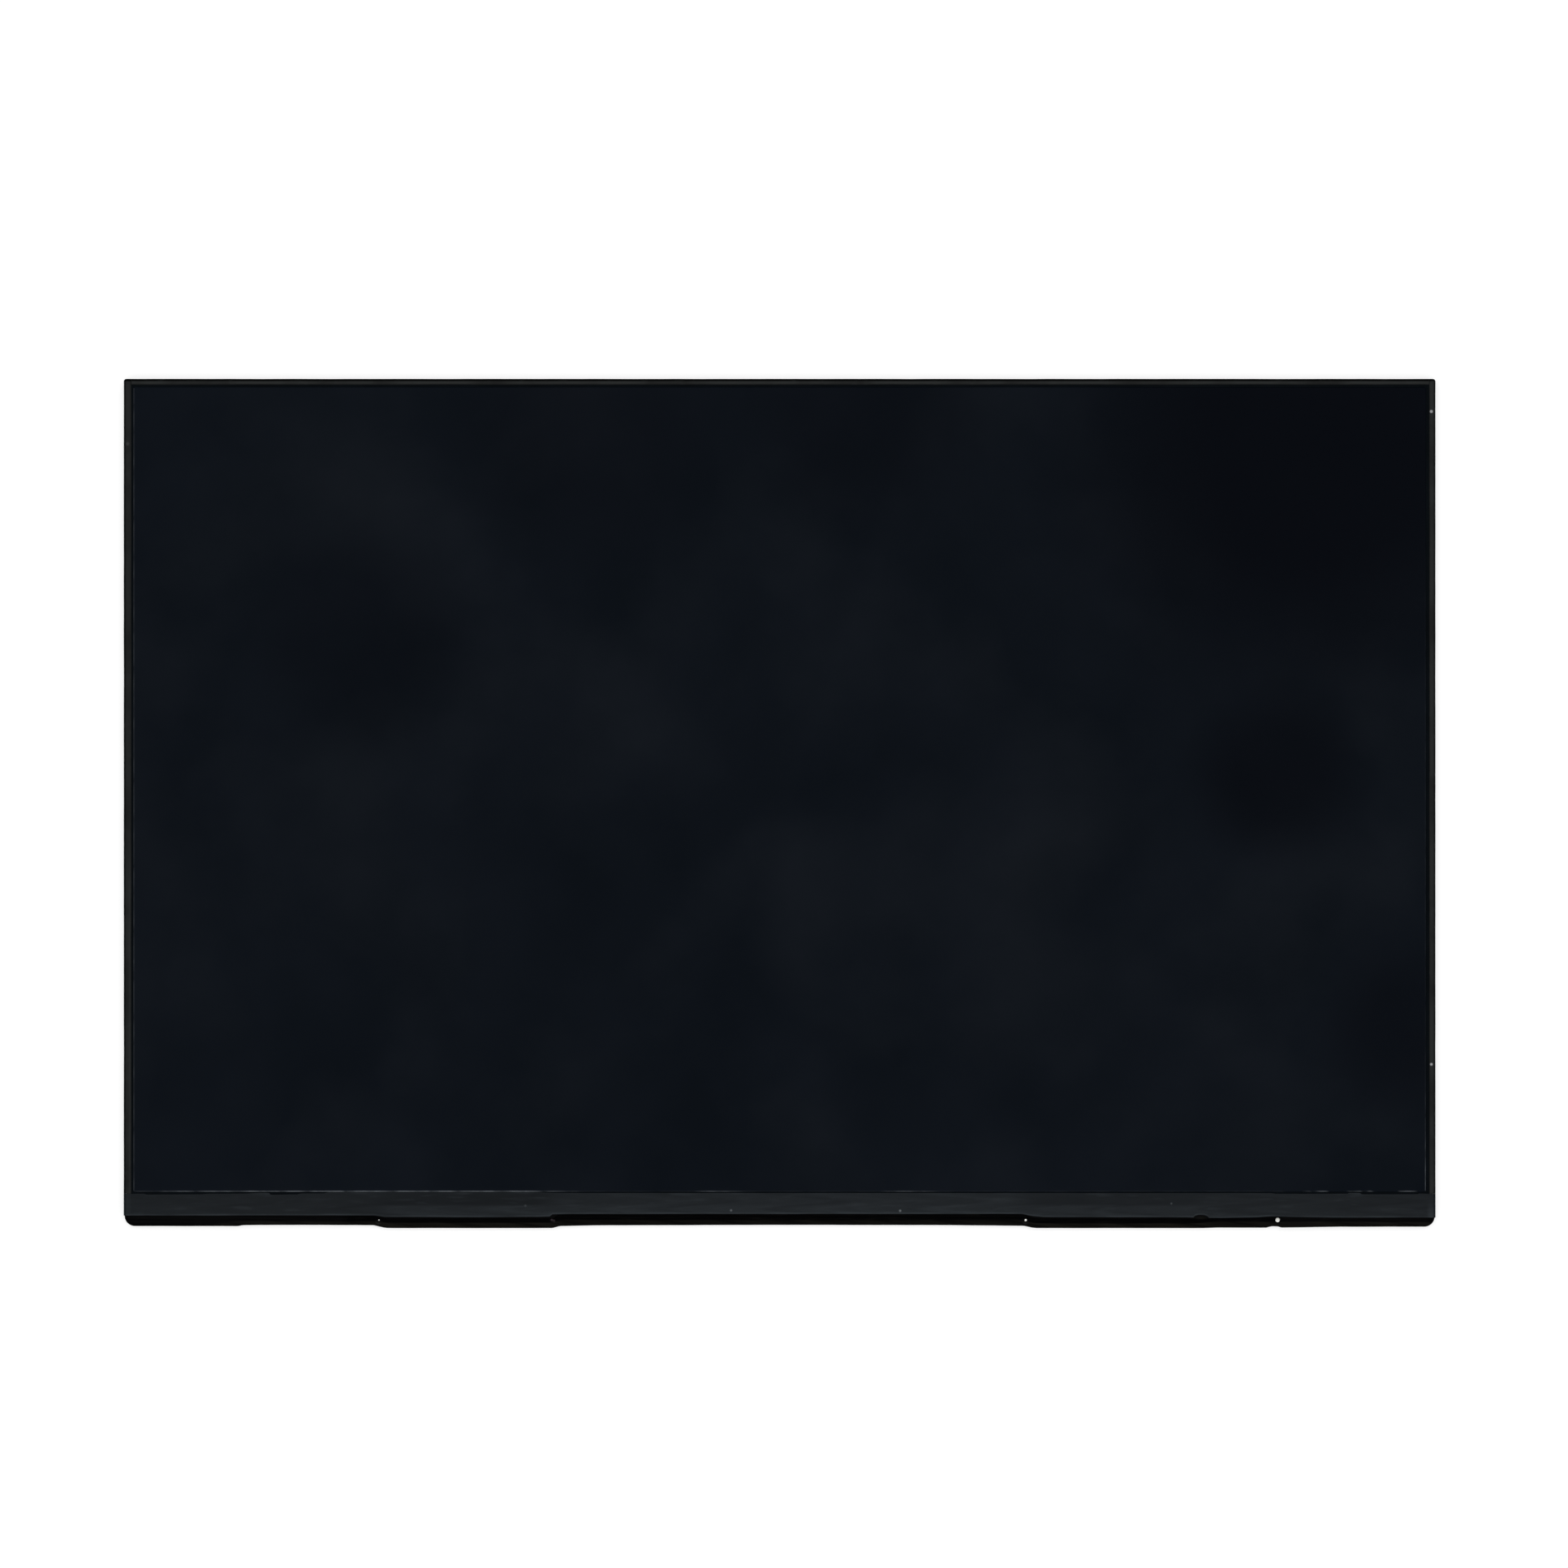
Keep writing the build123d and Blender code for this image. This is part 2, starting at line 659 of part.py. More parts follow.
with BuildPart() as signal_contacts:
    for index in range(contact_count):
        contact_x = socket_x - contact_half_span + index * contact_pitch
        with BuildSketch(Plane.YZ.offset(contact_x - contact_width / 2)):
            with BuildLine():
                Polyline(
                    (socket_rear_y - contact_tail, board_back_z),
                    (mouth_low_y - contact_rise, board_back_z),
                    (mouth_low_y, board_back_z - contact_rise),
                    (socket_mouth_y - 2 * socket_edge, board_back_z - contact_rise),
                    (socket_mouth_y - 2 * socket_edge, board_back_z - contact_rise - contact_t),
                    (mouth_low_y, board_back_z - contact_rise - contact_t),
                    (mouth_low_y - contact_rise, board_back_z - contact_t),
                    (socket_rear_y - contact_tail, board_back_z - contact_t),
                    close=True,
                )
            make_face()
        extrude(amount=contact_width)
keep(signal_contacts, "signal_contacts")

with BuildPart() as signal_socket_shell:
    slab(
        socket_x - socket_length / 2 - shell_t, socket_x + socket_length / 2 + shell_t,
        socket_rear_y + socket_edge, socket_mouth_y, parts_back_z, socket_back_z,
    )
    for hand in (-1, 1):
        wall_x = socket_x + hand * (socket_length / 2 + shell_t / 2)
        slab(
            wall_x - shell_t / 2, wall_x + shell_t / 2,
            socket_rear_y + socket_edge, socket_mouth_y, parts_back_z, board_back_z,
        )
        foot_x = wall_x + hand * (shell_foot_reach + shell_t) / 2
        for foot_y in (socket_rear_y + socket_edge + shell_foot_length, socket_mouth_y - shell_foot_length):
            slab(
                foot_x - shell_foot_reach / 2, foot_x + shell_foot_reach / 2,
                foot_y - shell_foot_length / 2, foot_y + shell_foot_length / 2,
                board_back_z - shell_t, board_back_z,
            )
keep(signal_socket_shell, "signal_socket_shell")

# Lamp socket, with a slot for the end of the lamp board's tail
with BuildPart() as lamp_socket:
    slab(
        tail_x - tail_width / 2 - lamp_socket_wall - flex_gap,
        tail_x + tail_width / 2 + lamp_socket_wall + flex_gap,
        lamp_socket_low_y, lamp_socket_low_y + lamp_socket_depth,
        board_back_z - lamp_socket_height, board_back_z,
    )
    slab(
        tail_x - tail_width / 2 - flex_gap, tail_x + tail_width / 2 + flex_gap,
        lamp_socket_low_y - cut_over, lamp_socket_low_y + lamp_socket_bite,
        film_back_z - flex_gap, board_back_z, mode=Mode.SUBTRACT,
    )
keep(lamp_socket, "lamp_socket")

# Board cover film: draped over the board's parts, stuck to the rear cover and to the wrap
cover_left_x = board_left_x - cover_clear
cover_right_x = board_right_x + cover_clear
cover_top_y = board_top_y + cover_clear
cover_low_y = film_end_y + cover_low_inset
cover_mid_x = (cover_left_x + cover_right_x) / 2
cover_mid_y = (cover_low_y + cover_top_y) / 2
cover_shift = cover_film_t * tan(radians(cover_draft / 2))
cover_run = tray_back_z * tan(radians(cover_draft))
with BuildPart() as cover_room:
    with BuildSketch(Plane.XY.offset(cover_film_t)):
        with Locations((cover_mid_x, cover_mid_y)):
            RectangleRounded(
                cover_right_x - cover_left_x - 2 * cover_shift,
                cover_top_y - cover_low_y - 2 * cover_shift,
                cover_corner_radius - cover_shift,
            )
    extrude(amount=tray_back_z - cover_film_t, taper=-cover_draft)
    fillet(cover_room.faces().sort_by(Axis.Z)[0].edges(), cover_edge_radius - cover_film_t)
with BuildPart() as board_cover_film:
    with BuildSketch(Plane.XY):
        with Locations((cover_mid_x, cover_mid_y)):
            RectangleRounded(
                cover_right_x - cover_left_x, cover_top_y - cover_low_y, cover_corner_radius
            )
    extrude(amount=tray_back_z, taper=-cover_draft)
    fillet(board_cover_film.faces().sort_by(Axis.Z)[0].edges(), cover_edge_radius)
    with BuildSketch(Plane.XY.offset(tray_back_z - cover_film_t)):
        with Locations((cover_mid_x, (cover_low_y + cover_top_y + cover_run + cover_flange) / 2)):
            RectangleRounded(
                cover_right_x - cover_left_x + 2 * (cover_run + cover_flange),
                cover_top_y - cover_low_y + cover_run + cover_flange,
                cover_corner_radius,
            )
    extrude(amount=cover_film_t)
    add(cover_room.part, mode=Mode.SUBTRACT)
    # the lower side stops at the wrap and laps on to it
    slab(
        -side_x, side_x, bulge_y, cover_low_y, wrap_back_z, tray_back_z + cut_over, mode=Mode.SUBTRACT
    )
    slab(
        cover_left_x, cover_right_x,
        board_low_y - cover_low_lap, cover_low_y - wrap_back_z * tan(radians(cover_draft)) + 2 * cover_film_t,
        wrap_back_z - cover_film_t, wrap_back_z,
    )
    # window for the signal socket and its plug
    slab(
        socket_x - socket_length / 2 - socket_window_gap, socket_x + socket_length / 2 + socket_window_gap,
        socket_rear_y - contact_tail - socket_window_gap, cover_top_y + cover_run + cover_flange + cut_over,
        -cut_over, tray_back_z + cut_over, mode=Mode.SUBTRACT,
    )
keep(board_cover_film, "board_cover_film")

# Edge wrap tape: from the glass ledge round the nose to the back, pushed out over each driver film
wrap_start_y = fold_y + wrap_front_lap
wrap_end_y = board_low_y + wrap_back_lap
end_corners = nose_points(fold_y, nose_y, wrap_end_z, wrap_start_y, wrap_end_y)
board_corners = nose_points(fold_y, nose_y, wrap_back_z, wrap_start_y, wrap_end_y)
bulge_corners = nose_points(fold_y - film_tab, bulge_y, wrap_back_z, wrap_start_y, wrap_end_y)
wrap_stations = [
    (-side_x, end_corners),
    (board_left_x - end_clear - end_ramp, end_corners),
    (board_left_x - end_clear, board_corners),
]
for film_x in film_centres:
    wrap_stations += [
        (film_x - ramp_half, board_corners),
        (film_x - bulge_half, bulge_corners),
        (film_x + bulge_half, bulge_corners),
        (film_x + ramp_half, board_corners),
    ]
wrap_stations += [
    (board_right_x + end_clear, board_corners),
    (board_right_x + end_clear + end_ramp, end_corners),
    (side_x, end_corners),
]
with BuildPart() as edge_wrap_tape:
    loft([folded_section(x, corners, tape_t) for x, corners in wrap_stations], ruled=True)
    # rounded lower corners of the outline
    with BuildSketch(Plane.XY):
        for hand in (-1, 1):
            with Locations((hand * side_x, nose_y)):
                Rectangle(2 * nose_corner_radius, 2 * nose_corner_radius)
            with Locations((hand * (side_x - nose_corner_radius), nose_y + nose_corner_radius)):
                Circle(nose_corner_radius, mode=Mode.SUBTRACT)
    extrude(amount=2 * wrap_front_z, mode=Mode.SUBTRACT)
    # holes for the pegs
    with BuildSketch(Plane.XY.offset(tray_floor_z + frame_gap + peg_arm_height)):
        with Locations(*[(peg_x, peg_y) for peg_x in peg_xs]):
            Circle(peg_diameter / 2 + peg_hole_gap)
    extrude(amount=wrap_front_z, mode=Mode.SUBTRACT)
keep(edge_wrap_tape, "edge_wrap_tape")

# Front ledge tape: the band below the screen, with a tab over each driver film
with BuildPart() as front_ledge_tape:
    with BuildSketch(Plane.YZ.offset(-side_x)):
        with BuildLine():
            Polyline(
                (band_top_y, filter_front_z),
                (filter_low_y, filter_front_z),
                (wrap_start_y, wrap_front_z),
                (fold_y, wrap_front_z),
                (fold_y, wrap_front_z + tape_t),
                (wrap_start_y, wrap_front_z + tape_t),
                (filter_low_y, filter_front_z + tape_t),
                (band_top_y, filter_front_z + tape_t),
                close=True,
            )
        make_face()
    extrude(amount=panel_width)
    for film_x in film_centres:
        slab(
            film_x - bulge_half, film_x + bulge_half, fold_y - film_tab, fold_y + film_tab,
            wrap_front_z, wrap_front_z + tape_t,
        )
keep(front_ledge_tape, "front_ledge_tape")

# Rim tapes: from the glass margin round the side to the back
tape_front_z = filter_front_z + tape_t
tape_back_z = tray_back_z - tape_t
rim_tape_x = polariser_width / 2 + side_groove
for side, hand in (("left", -1), ("right", 1)):
    with BuildPart() as side_tape:
        with BuildSketch(Plane.XZ.offset(-top_y)):
            with BuildLine():
                FilletPolyline(
                    (hand * rim_tape_x, tape_front_z),
                    (hand * side_x, tape_front_z),
                    (hand * side_x, tape_back_z),
                    (hand * (side_x - tape_back_lap), tape_back_z),
                    radius=tape_fold_radius,
                )
                offset(amount=tape_t, side=Side.RIGHT if hand > 0 else Side.LEFT)
            make_face()
        extrude(amount=top_y - tray_low_y)
        # the front leg gives way to the ledge tape
        slab(
            -side_x - cut_over, side_x + cut_over, tray_low_y - cut_over, band_top_y + butt_gap,
            tft_front_z, tape_front_z + cut_over, mode=Mode.SUBTRACT,
        )
        # rounded top corner of the outline
        with BuildSketch(Plane.XY):
            RectangleRounded(panel_width, panel_height, top_corner_radius)
        extrude(amount=2 * tape_front_z, mode=Mode.INTERSECT)
    keep(side_tape, f"rim_tape_{side}")

with BuildPart() as rim_tape_top:
    with BuildSketch(Plane.YZ.offset(-rim_tape_x + butt_gap)):
        with BuildLine():
            FilletPolyline(
                (screen_top_y + top_groove, tape_front_z),
                (top_y, tape_front_z),
                (top_y, tape_back_z),
                (top_y - tape_back_lap, tape_back_z),
                radius=tape_fold_radius,
            )
            offset(amount=tape_t, side=Side.RIGHT)
        make_face()
    extrude(amount=2 * (rim_tape_x - butt_gap))
    # the back leg fits between those of the side tapes
    for hand in (-1, 1):
        corner_x = hand * side_x
        slab(
            corner_x - tape_back_lap - butt_gap, corner_x + tape_back_lap + butt_gap,
            top_y - tape_back_lap - cut_over, top_y + cut_over,
            tape_back_z - cut_over, tray_back_z + butt_gap, mode=Mode.SUBTRACT,
        )
keep(rim_tape_top, "rim_tape_top")
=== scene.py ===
"""A laptop screen panel lying on its back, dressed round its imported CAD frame.

Sizes are millimetres in the CAD frame: X runs to the right of the screen, Y to its top edge and Z out
of the screen. Meshes are written in metres.
"""

import logging
import math
from dataclasses import dataclass, field, replace
from enum import Enum

import bpy
import numpy as np
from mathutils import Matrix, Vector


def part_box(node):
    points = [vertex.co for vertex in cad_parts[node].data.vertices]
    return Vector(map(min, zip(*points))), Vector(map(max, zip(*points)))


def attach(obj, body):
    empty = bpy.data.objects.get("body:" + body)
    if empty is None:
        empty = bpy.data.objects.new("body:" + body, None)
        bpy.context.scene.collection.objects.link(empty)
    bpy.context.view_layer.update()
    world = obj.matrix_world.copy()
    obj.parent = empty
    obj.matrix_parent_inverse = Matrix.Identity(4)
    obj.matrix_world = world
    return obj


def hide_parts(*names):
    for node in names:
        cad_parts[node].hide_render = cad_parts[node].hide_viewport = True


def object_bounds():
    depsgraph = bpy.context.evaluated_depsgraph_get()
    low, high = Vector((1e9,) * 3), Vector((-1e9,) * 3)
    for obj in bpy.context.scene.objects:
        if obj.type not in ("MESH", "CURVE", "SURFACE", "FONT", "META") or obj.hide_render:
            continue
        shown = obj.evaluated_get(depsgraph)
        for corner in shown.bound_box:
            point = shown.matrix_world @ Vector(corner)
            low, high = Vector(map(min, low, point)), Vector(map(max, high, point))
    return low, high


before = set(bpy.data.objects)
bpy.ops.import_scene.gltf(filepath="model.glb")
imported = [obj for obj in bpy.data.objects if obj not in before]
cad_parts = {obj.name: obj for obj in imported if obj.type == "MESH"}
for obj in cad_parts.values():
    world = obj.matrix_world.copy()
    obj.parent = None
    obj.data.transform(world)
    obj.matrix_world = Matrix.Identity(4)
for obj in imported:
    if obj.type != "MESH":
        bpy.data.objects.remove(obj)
CAD_BOX = [list(corner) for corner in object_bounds()]

MM = 0.001
SHARP_ANGLE = math.radians(32)
BODY = "root"
LOG = logging.getLogger("screen_panel")

# Noise lies mostly within these limits, so a blend runs from the first to the second.
PATCH_LIMITS = (0.32, 0.68)
GRAIN_LIMITS = (0.3, 0.7)
PATCH_DETAIL = 3.0
GRAIN_DETAIL = 2.0
CLOUDY_SHEEN_DETAIL = 5.0
# Share of a spot's radius that has its full strength.
SPOT_CORE = 0.3
# Readings that a softened line is averaged over.
SOFT_READINGS = 9
# Places on an edge stay apart by the close spacing over this.
CROWDING = 3
# Keeps a division away from zero.
TINY = 1e-12

Span = tuple[float, float]
Knots = tuple[Span, ...]


def to_linear(shade: str) -> tuple[float, float, float, float]:
    """Turn an sRGB hex colour to linear light.

    Args:
        shade: The colour as "#rrggbb".

    Returns:
        Red, green, blue and an alpha of 1.
    """
    part = np.array([int(shade[start : start + 2], 16) for start in (1, 3, 5)]) / 255
    light = np.where(part <= 0.04045, part / 12.92, ((part + 0.055) / 1.055) ** 2.4)
    return (*light.tolist(), 1.0)


def add_node(tree: bpy.types.NodeTree, kind: str, feeds: dict | None = None, **settings) -> bpy.types.Node:
    """Add one shader node with its settings, constants and links.

    Args:
        tree: The node tree that takes the node.
        kind: Blender's name for the type of node.
        feeds: For each input, by name or number, a socket to link or a constant.
        settings: The node's own attributes.

    Returns:
        The new node.
    """
    node = tree.nodes.new(kind)
    for key, value in settings.items():
        setattr(node, key, value)
    for key, value in (feeds or {}).items():
        if isinstance(value, bpy.types.NodeSocket):
            tree.links.new(value, node.inputs[key])
        else:
            node.inputs[key].default_value = value
    return node


def blank_tree(owner: bpy.types.Material | bpy.types.World) -> bpy.types.NodeTree:
    """Turn on an owner's nodes and clear them.

    Args:
        owner: The material or the world.

    Returns:
        Its empty node tree.
    """
    owner.use_nodes = True
    owner.node_tree.nodes.clear()
    return owner.node_tree


@dataclass(frozen=True)
class Wave:
    """Unevenness of a film laid by hand: five sines, each a little over half as long as the last."""

    longest: float
    height: float
    seed: int
    count: int = 5
    shorter: float = 0.57
    weaker: float = 0.7

    def at(self, along: np.ndarray) -> np.ndarray:
        """Add up the sines, whose phases are drawn from the seed.

        Args:
            along: Places along the film.

        Returns:
            The height at each place, about the film's middle.
        """
        order = np.arange(self.count)
        phase = np.random.default_rng(self.seed).uniform(0, 2 * np.pi, self.count)
        waves = np.sin(2 * np.pi * along[..., None] / (self.longest * self.shorter**order) + phase)
        return self.height * (waves * self.weaker**order).sum(axis=-1) / 2


def bell(x: np.ndarray, y: np.ndarray, middle: Span, reach: Span) -> np.ndarray:
    """Give a bell over the plan: 1 at its middle and 1/e at its reach along X or along Y."""
    return np.exp(-(((x - middle[0]) / reach[0]) ** 2) - ((y - middle[1]) / reach[1]) ** 2)


def follow(knots: Knots, along: np.ndarray, soft: float = 0.0) -> np.ndarray:
    """Read a line of straight runs through knots, averaged over a short reach so its corners are soft.

    Args:
        knots: Places and values of the line.
        along: Where it is read.
        soft: Half the reach of the average.

    Returns:
        The line's value at each place.
    """
    places, values = np.array(knots).T
    reach = np.linspace(-soft, soft, SOFT_READINGS)
    return np.interp(along[..., None] + reach, places, values).mean(axis=-1)


def smooth_step(value: np.ndarray, low: float, high: float) -> np.ndarray:
    """Go from 0 at low to 1 at high along a cubic with level ends."""
    share = np.clip((value - low) / (high - low), 0, 1)
    return share * share * (3 - 2 * share)


def soft_min(first: np.ndarray, second: np.ndarray, reach: float) -> np.ndarray:
    """Take the smaller of two heights, rounding the crease where they are within reach of each other."""
    near = np.clip(1 - np.abs(first - second) / reach, 0, 1)
    return np.minimum(first, second) - reach * near * near / 4


def stations(low: float, high: float, step: float, places: Knots = (), fine: float = 0.1) -> np.ndarray:
    """Spread places evenly along an edge, and more closely round some of them.

    Args:
        low: First place.
        high: Last place.
        step: Even spacing.
        places: Middle and reach of each stretch with close spacing.
        fine: Close spacing.

    Returns:
        The places in order.
    """
    even = np.linspace(low, high, round((high - low) / step) + 1)
    close = [np.arange(middle - reach, middle + reach, fine) for middle, reach in places]
    spread = np.sort(np.concatenate((even, *close)))
    spread = spread[(spread >= low) & (spread <= high)]
    return spread[np.append(True, np.diff(spread) > fine / CROWDING)]


def node_box(name: str) -> np.ndarray:
    """Give a CAD node's lowest and highest corners in millimetres."""
    return np.array(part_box(name)) / MM


def write_mesh(
    name: str,
    points: np.ndarray,
    faces: list[np.ndarray],
    marks: dict[str, np.ndarray],
    folded: np.ndarray | None = None,
) -> bpy.types.Object:
    """Write points and faces as one object at the origin, smooth but for its sharp edges.

    Args:
        name: The object's name.
        points: Points in millimetres, one a row.
        faces: Arrays of point numbers, one face a row, each array with its own number of corners.
        marks: Named values, one a point, for the finish to read.
        folded: Which faces take the piece's second finish, none if not given.

    Returns:
        The new object.
    """
    sizes = np.concatenate([np.full(len(rows), rows.shape[1]) for rows in faces])
    corners = np.concatenate([rows.ravel() for rows in faces])
    starts = np.cumsum(sizes) - sizes
    mesh = bpy.data.meshes.new(name)
    mesh.vertices.add(len(points))
    mesh.vertices.foreach_set("co", (points * MM).astype(np.float32).ravel())
    mesh.loops.add(len(corners))
    mesh.loops.foreach_set("vertex_index", corners.astype(np.int32))
    mesh.polygons.add(len(sizes))
    mesh.polygons.foreach_set("loop_start", starts.astype(np.int32))
    if folded is not None:
        mesh.polygons.foreach_set("material_index", folded.astype(np.int32))
    for mark, values in marks.items():
        mesh.attributes.new(mark, "FLOAT", "POINT").data.foreach_set("value", values.astype(np.float32))
    mesh.update(calc_edges=True)
    mesh.shade_smooth()
    mesh.set_sharp_from_angle(angle=SHARP_ANGLE)
    piece = bpy.data.objects.new(name, mesh)
    bpy.context.scene.collection.objects.link(piece)
    return piece


def grid_quads(rows: int, columns: int) -> np.ndarray:
    """Number the quads of a grid of points, as rows by columns by four corners."""
    corner = np.arange(rows * columns).reshape(rows, columns)
    return np.stack((corner[:-1, :-1], corner[1:, :-1], corner[1:, 1:], corner[:-1, 1:]), axis=-1)


@dataclass
class Film:
    """A thin film: its outer face as a grid of points, which quads are kept, and marks for its finish.

    The outer face looks along the cross product of the row direction and the column direction. Folded
    quads take the piece's second finish.
    """

    points: np.ndarray
    kept: np.ndarray | None = None
    marks: dict[str, np.ndarray] = field(default_factory=dict)
    folded: np.ndarray | None = None

    def normals(self) -> np.ndarray:
        """Give unit normals: the cross product of the grid's slopes along its rows and columns."""
        normal = np.cross(np.gradient(self.points, axis=0), np.gradient(self.points, axis=1))
        return normal / np.maximum(np.linalg.norm(normal, axis=-1, keepdims=True), TINY)

    def build(self, name: str, thickness: float) -> bpy.types.Object:
        """Close the film: the outer face, the same face moved inwards, and a rim where quads end.

        Args:
            name: The object's name.
            thickness: The film's thickness.

        Returns:
            The new object.
        """
        quads = grid_quads(*self.points.shape[:2])
        kept = np.ones(quads.shape[:2], dtype=bool) if self.kept is None else self.kept
        folded = np.zeros_like(kept) if self.folded is None else self.folded
        quads, folded = quads[kept], folded[kept]
        used, quads = np.unique(quads, return_inverse=True)
        quads = quads.reshape(-1, 4)
        outer = self.points.reshape(-1, 3)[used]
        inner = outer - thickness * self.normals().reshape(-1, 3)[used]
        count = len(used)
        start, end = quads.ravel(), np.roll(quads, -1, axis=1).ravel()
        open_edge = ~np.isin(start * count + end, end * count + start)
        start, end = start[open_edge], end[open_edge]
        rim = np.stack((end, start, start + count, end + count), axis=1)
        marks = {mark: np.tile(values.ravel()[used], 2) for mark, values in self.marks.items()}
        faces = [quads, quads[:, ::-1] + count, rim]
        folded = np.concatenate((folded, folded, np.repeat(folded, 4)[open_edge]))
        return write_mesh(name, np.concatenate((outer, inner)), faces, marks, folded)


class Grain(Enum):
    """Which way a finish's texture runs, as a stretch of its pattern along X, Y and Z."""

    EVEN = (1.0, 1.0, 1.0)
    DRAWN_X = (0.16, 1.0, 1.0)
    ALONG_X = (0.03, 1.0, 1.0)
    ALONG_Y = (1.0, 0.03, 1.0)


@dataclass(frozen=True)
class Finish:
    """A finish: two close shades in soft patches, gloss that varies with them, and a fine relief."""

    name: str
    shade: str
    second: str
    patch: float
    gloss: Span
    grain: float
    relief: float
    run: Grain = Grain.EVEN
    specular: float = 0.5
    ior: float = 1.5
    metallic: float = 0.0
    transmission: float = 0.0
    coat: float = 0.0

    def colour(self, tree: bpy.types.NodeTree, place: bpy.types.NodeSocket) -> bpy.types.NodeSocket:
        """Mix the two shades by soft noise as wide as the patches.

        Args:
            tree: The material's nodes.
            place: Object coordinates, stretched along the grain.

        Returns:
            The colour.
        """
        soft = {"Vector": place, "Scale": 1 / (self.patch * MM), "Detail": PATCH_DETAIL}
        cloud = add_node(tree, "ShaderNodeTexNoise", soft).outputs[0]
        low, high = PATCH_LIMITS
        limits = {"Value": cloud, "From Min": low, "From Max": high}
        share = add_node(tree, "ShaderNodeMapRange", limits).outputs[0]
        shades = {0: share, 6: to_linear(self.shade), 7: to_linear(self.second)}
        return add_node(tree, "ShaderNodeMix", shades, data_type="RGBA").outputs[2]

    def material(self) -> bpy.types.Material:
        """Build the material, or find the one built before.

        Returns:
            The material.
        """
        if self.name in bpy.data.materials:
            return bpy.data.materials[self.name]
        made = bpy.data.materials.new(self.name)
        tree = blank_tree(made)
        place = add_node(tree, "ShaderNodeTexCoord").outputs["Object"]
        along = add_node(tree, "ShaderNodeMapping", {"Vector": place, "Scale": self.run.value}).outputs[0]
        fine = {"Vector": along, "Scale": 1 / (self.grain * MM), "Detail": GRAIN_DETAIL}
        texture = add_node(tree, "ShaderNodeTexNoise", fine).outputs[0]
        dull = add_node(
            tree,
            "ShaderNodeMapRange",
            {
                "Value": texture, "From Min": GRAIN_LIMITS[0], "From Max": GRAIN_LIMITS[1],
                "To Min": self.gloss[0], "To Max": self.gloss[1],
            },
        )
        bump = add_node(tree, "ShaderNodeBump", {"Height": texture, "Distance": self.relief * MM})
        shader = add_node(
            tree,
            "ShaderNodeBsdfPrincipled",
            {
                "Base Color": self.colour(tree, along),
                "Roughness": dull.outputs[0],
                "Normal": bump.outputs[0],
                "IOR": self.ior,
                "Specular IOR Level": self.specular,
                "Metallic": self.metallic,
                "Transmission Weight": self.transmission,
                "Coat Weight": self.coat,
            },
        )
        add_node(tree, "ShaderNodeOutputMaterial", {"Surface": shader.outputs[0]})
        return made


@dataclass(frozen=True)
class MarkedFinish(Finish):
    """A finish painted paler where its mesh is marked and in clouds all over, with spots of one more shade:
    painted sheen, highlights and shade on most pieces, wear on the board film.
    """

    wear_and_sheen_shade: str = "#ffffff"
    cloudy_sheen: float = 0.0
    cloudy_sheen_size: float = 2.0
    cloudy_sheen_limits: Span = (0.56, 0.74)
    spot: str = "#ffffff"
    spots: tuple[tuple[float, float, float, float], ...] = ()

    def colour(self, tree: bpy.types.NodeTree, place: bpy.types.NodeSocket) -> bpy.types.NodeSocket:
        """Lay the marked parts, the clouds and the spots over the patches, each by a share of its own; they
        carry painted sheen, highlights and shade, and wear on the board film.

        Args:
            tree: The material's nodes.
            place: Object coordinates, stretched along the grain.

        Returns:
            The colour.
        """
        # The marked share paints sheen and highlights on the tapes, films and screen edge, and wear on the
        # board film.
        wear_and_sheen = add_node(tree, "ShaderNodeAttribute", attribute_name="wear_and_sheen").outputs["Fac"]
        layers = [(wear_and_sheen, self.wear_and_sheen_shade)]
        # Clouds of the same paler shade: painted reflection on the screen, painted sheen on the tapes and the
        # nose film.
        if self.cloudy_sheen:
            cloudy = {"Vector": place, "Scale": 1 / (self.cloudy_sheen_size * MM), "Detail": CLOUDY_SHEEN_DETAIL}
            noise = add_node(tree, "ShaderNodeTexNoise", cloudy)
            low, high = self.cloudy_sheen_limits
            limits = {"Value": noise.outputs[0], "From Min": low, "From Max": high, "To Max": self.cloudy_sheen}
            layers.append((add_node(tree, "ShaderNodeMapRange", limits).outputs[0], self.wear_and_sheen_shade))
        plain = add_node(tree, "ShaderNodeTexCoord").outputs["Object"]
        flat = add_node(
            tree, "ShaderNodeVectorMath", {0: plain, 1: (1.0, 1.0, 0.0)}, operation="MULTIPLY"
        ).outputs[0]
        for x, y, radius, strength in self.spots:
            away = add_node(
                tree, "ShaderNodeVectorMath", {0: flat, 1: (x * MM, y * MM, 0.0)}, operation="DISTANCE"
            ).outputs["Value"]
            rim, core = radius * MM, SPOT_CORE * radius * MM
            limits = {"Value": away, "From Min": rim, "From Max": core, "To Max": strength}
            share = add_node(tree, "ShaderNodeMapRange", limits, interpolation_type="SMOOTHSTEP")
            layers.append((share.outputs[0], self.spot))
        colour = super().colour(tree, place)
        for share, shade in layers:
            shades = {0: share, 6: colour, 7: to_linear(shade)}
            colour = add_node(tree, "ShaderNodeMix", shades, data_type="RGBA").outputs[2]
        return colour


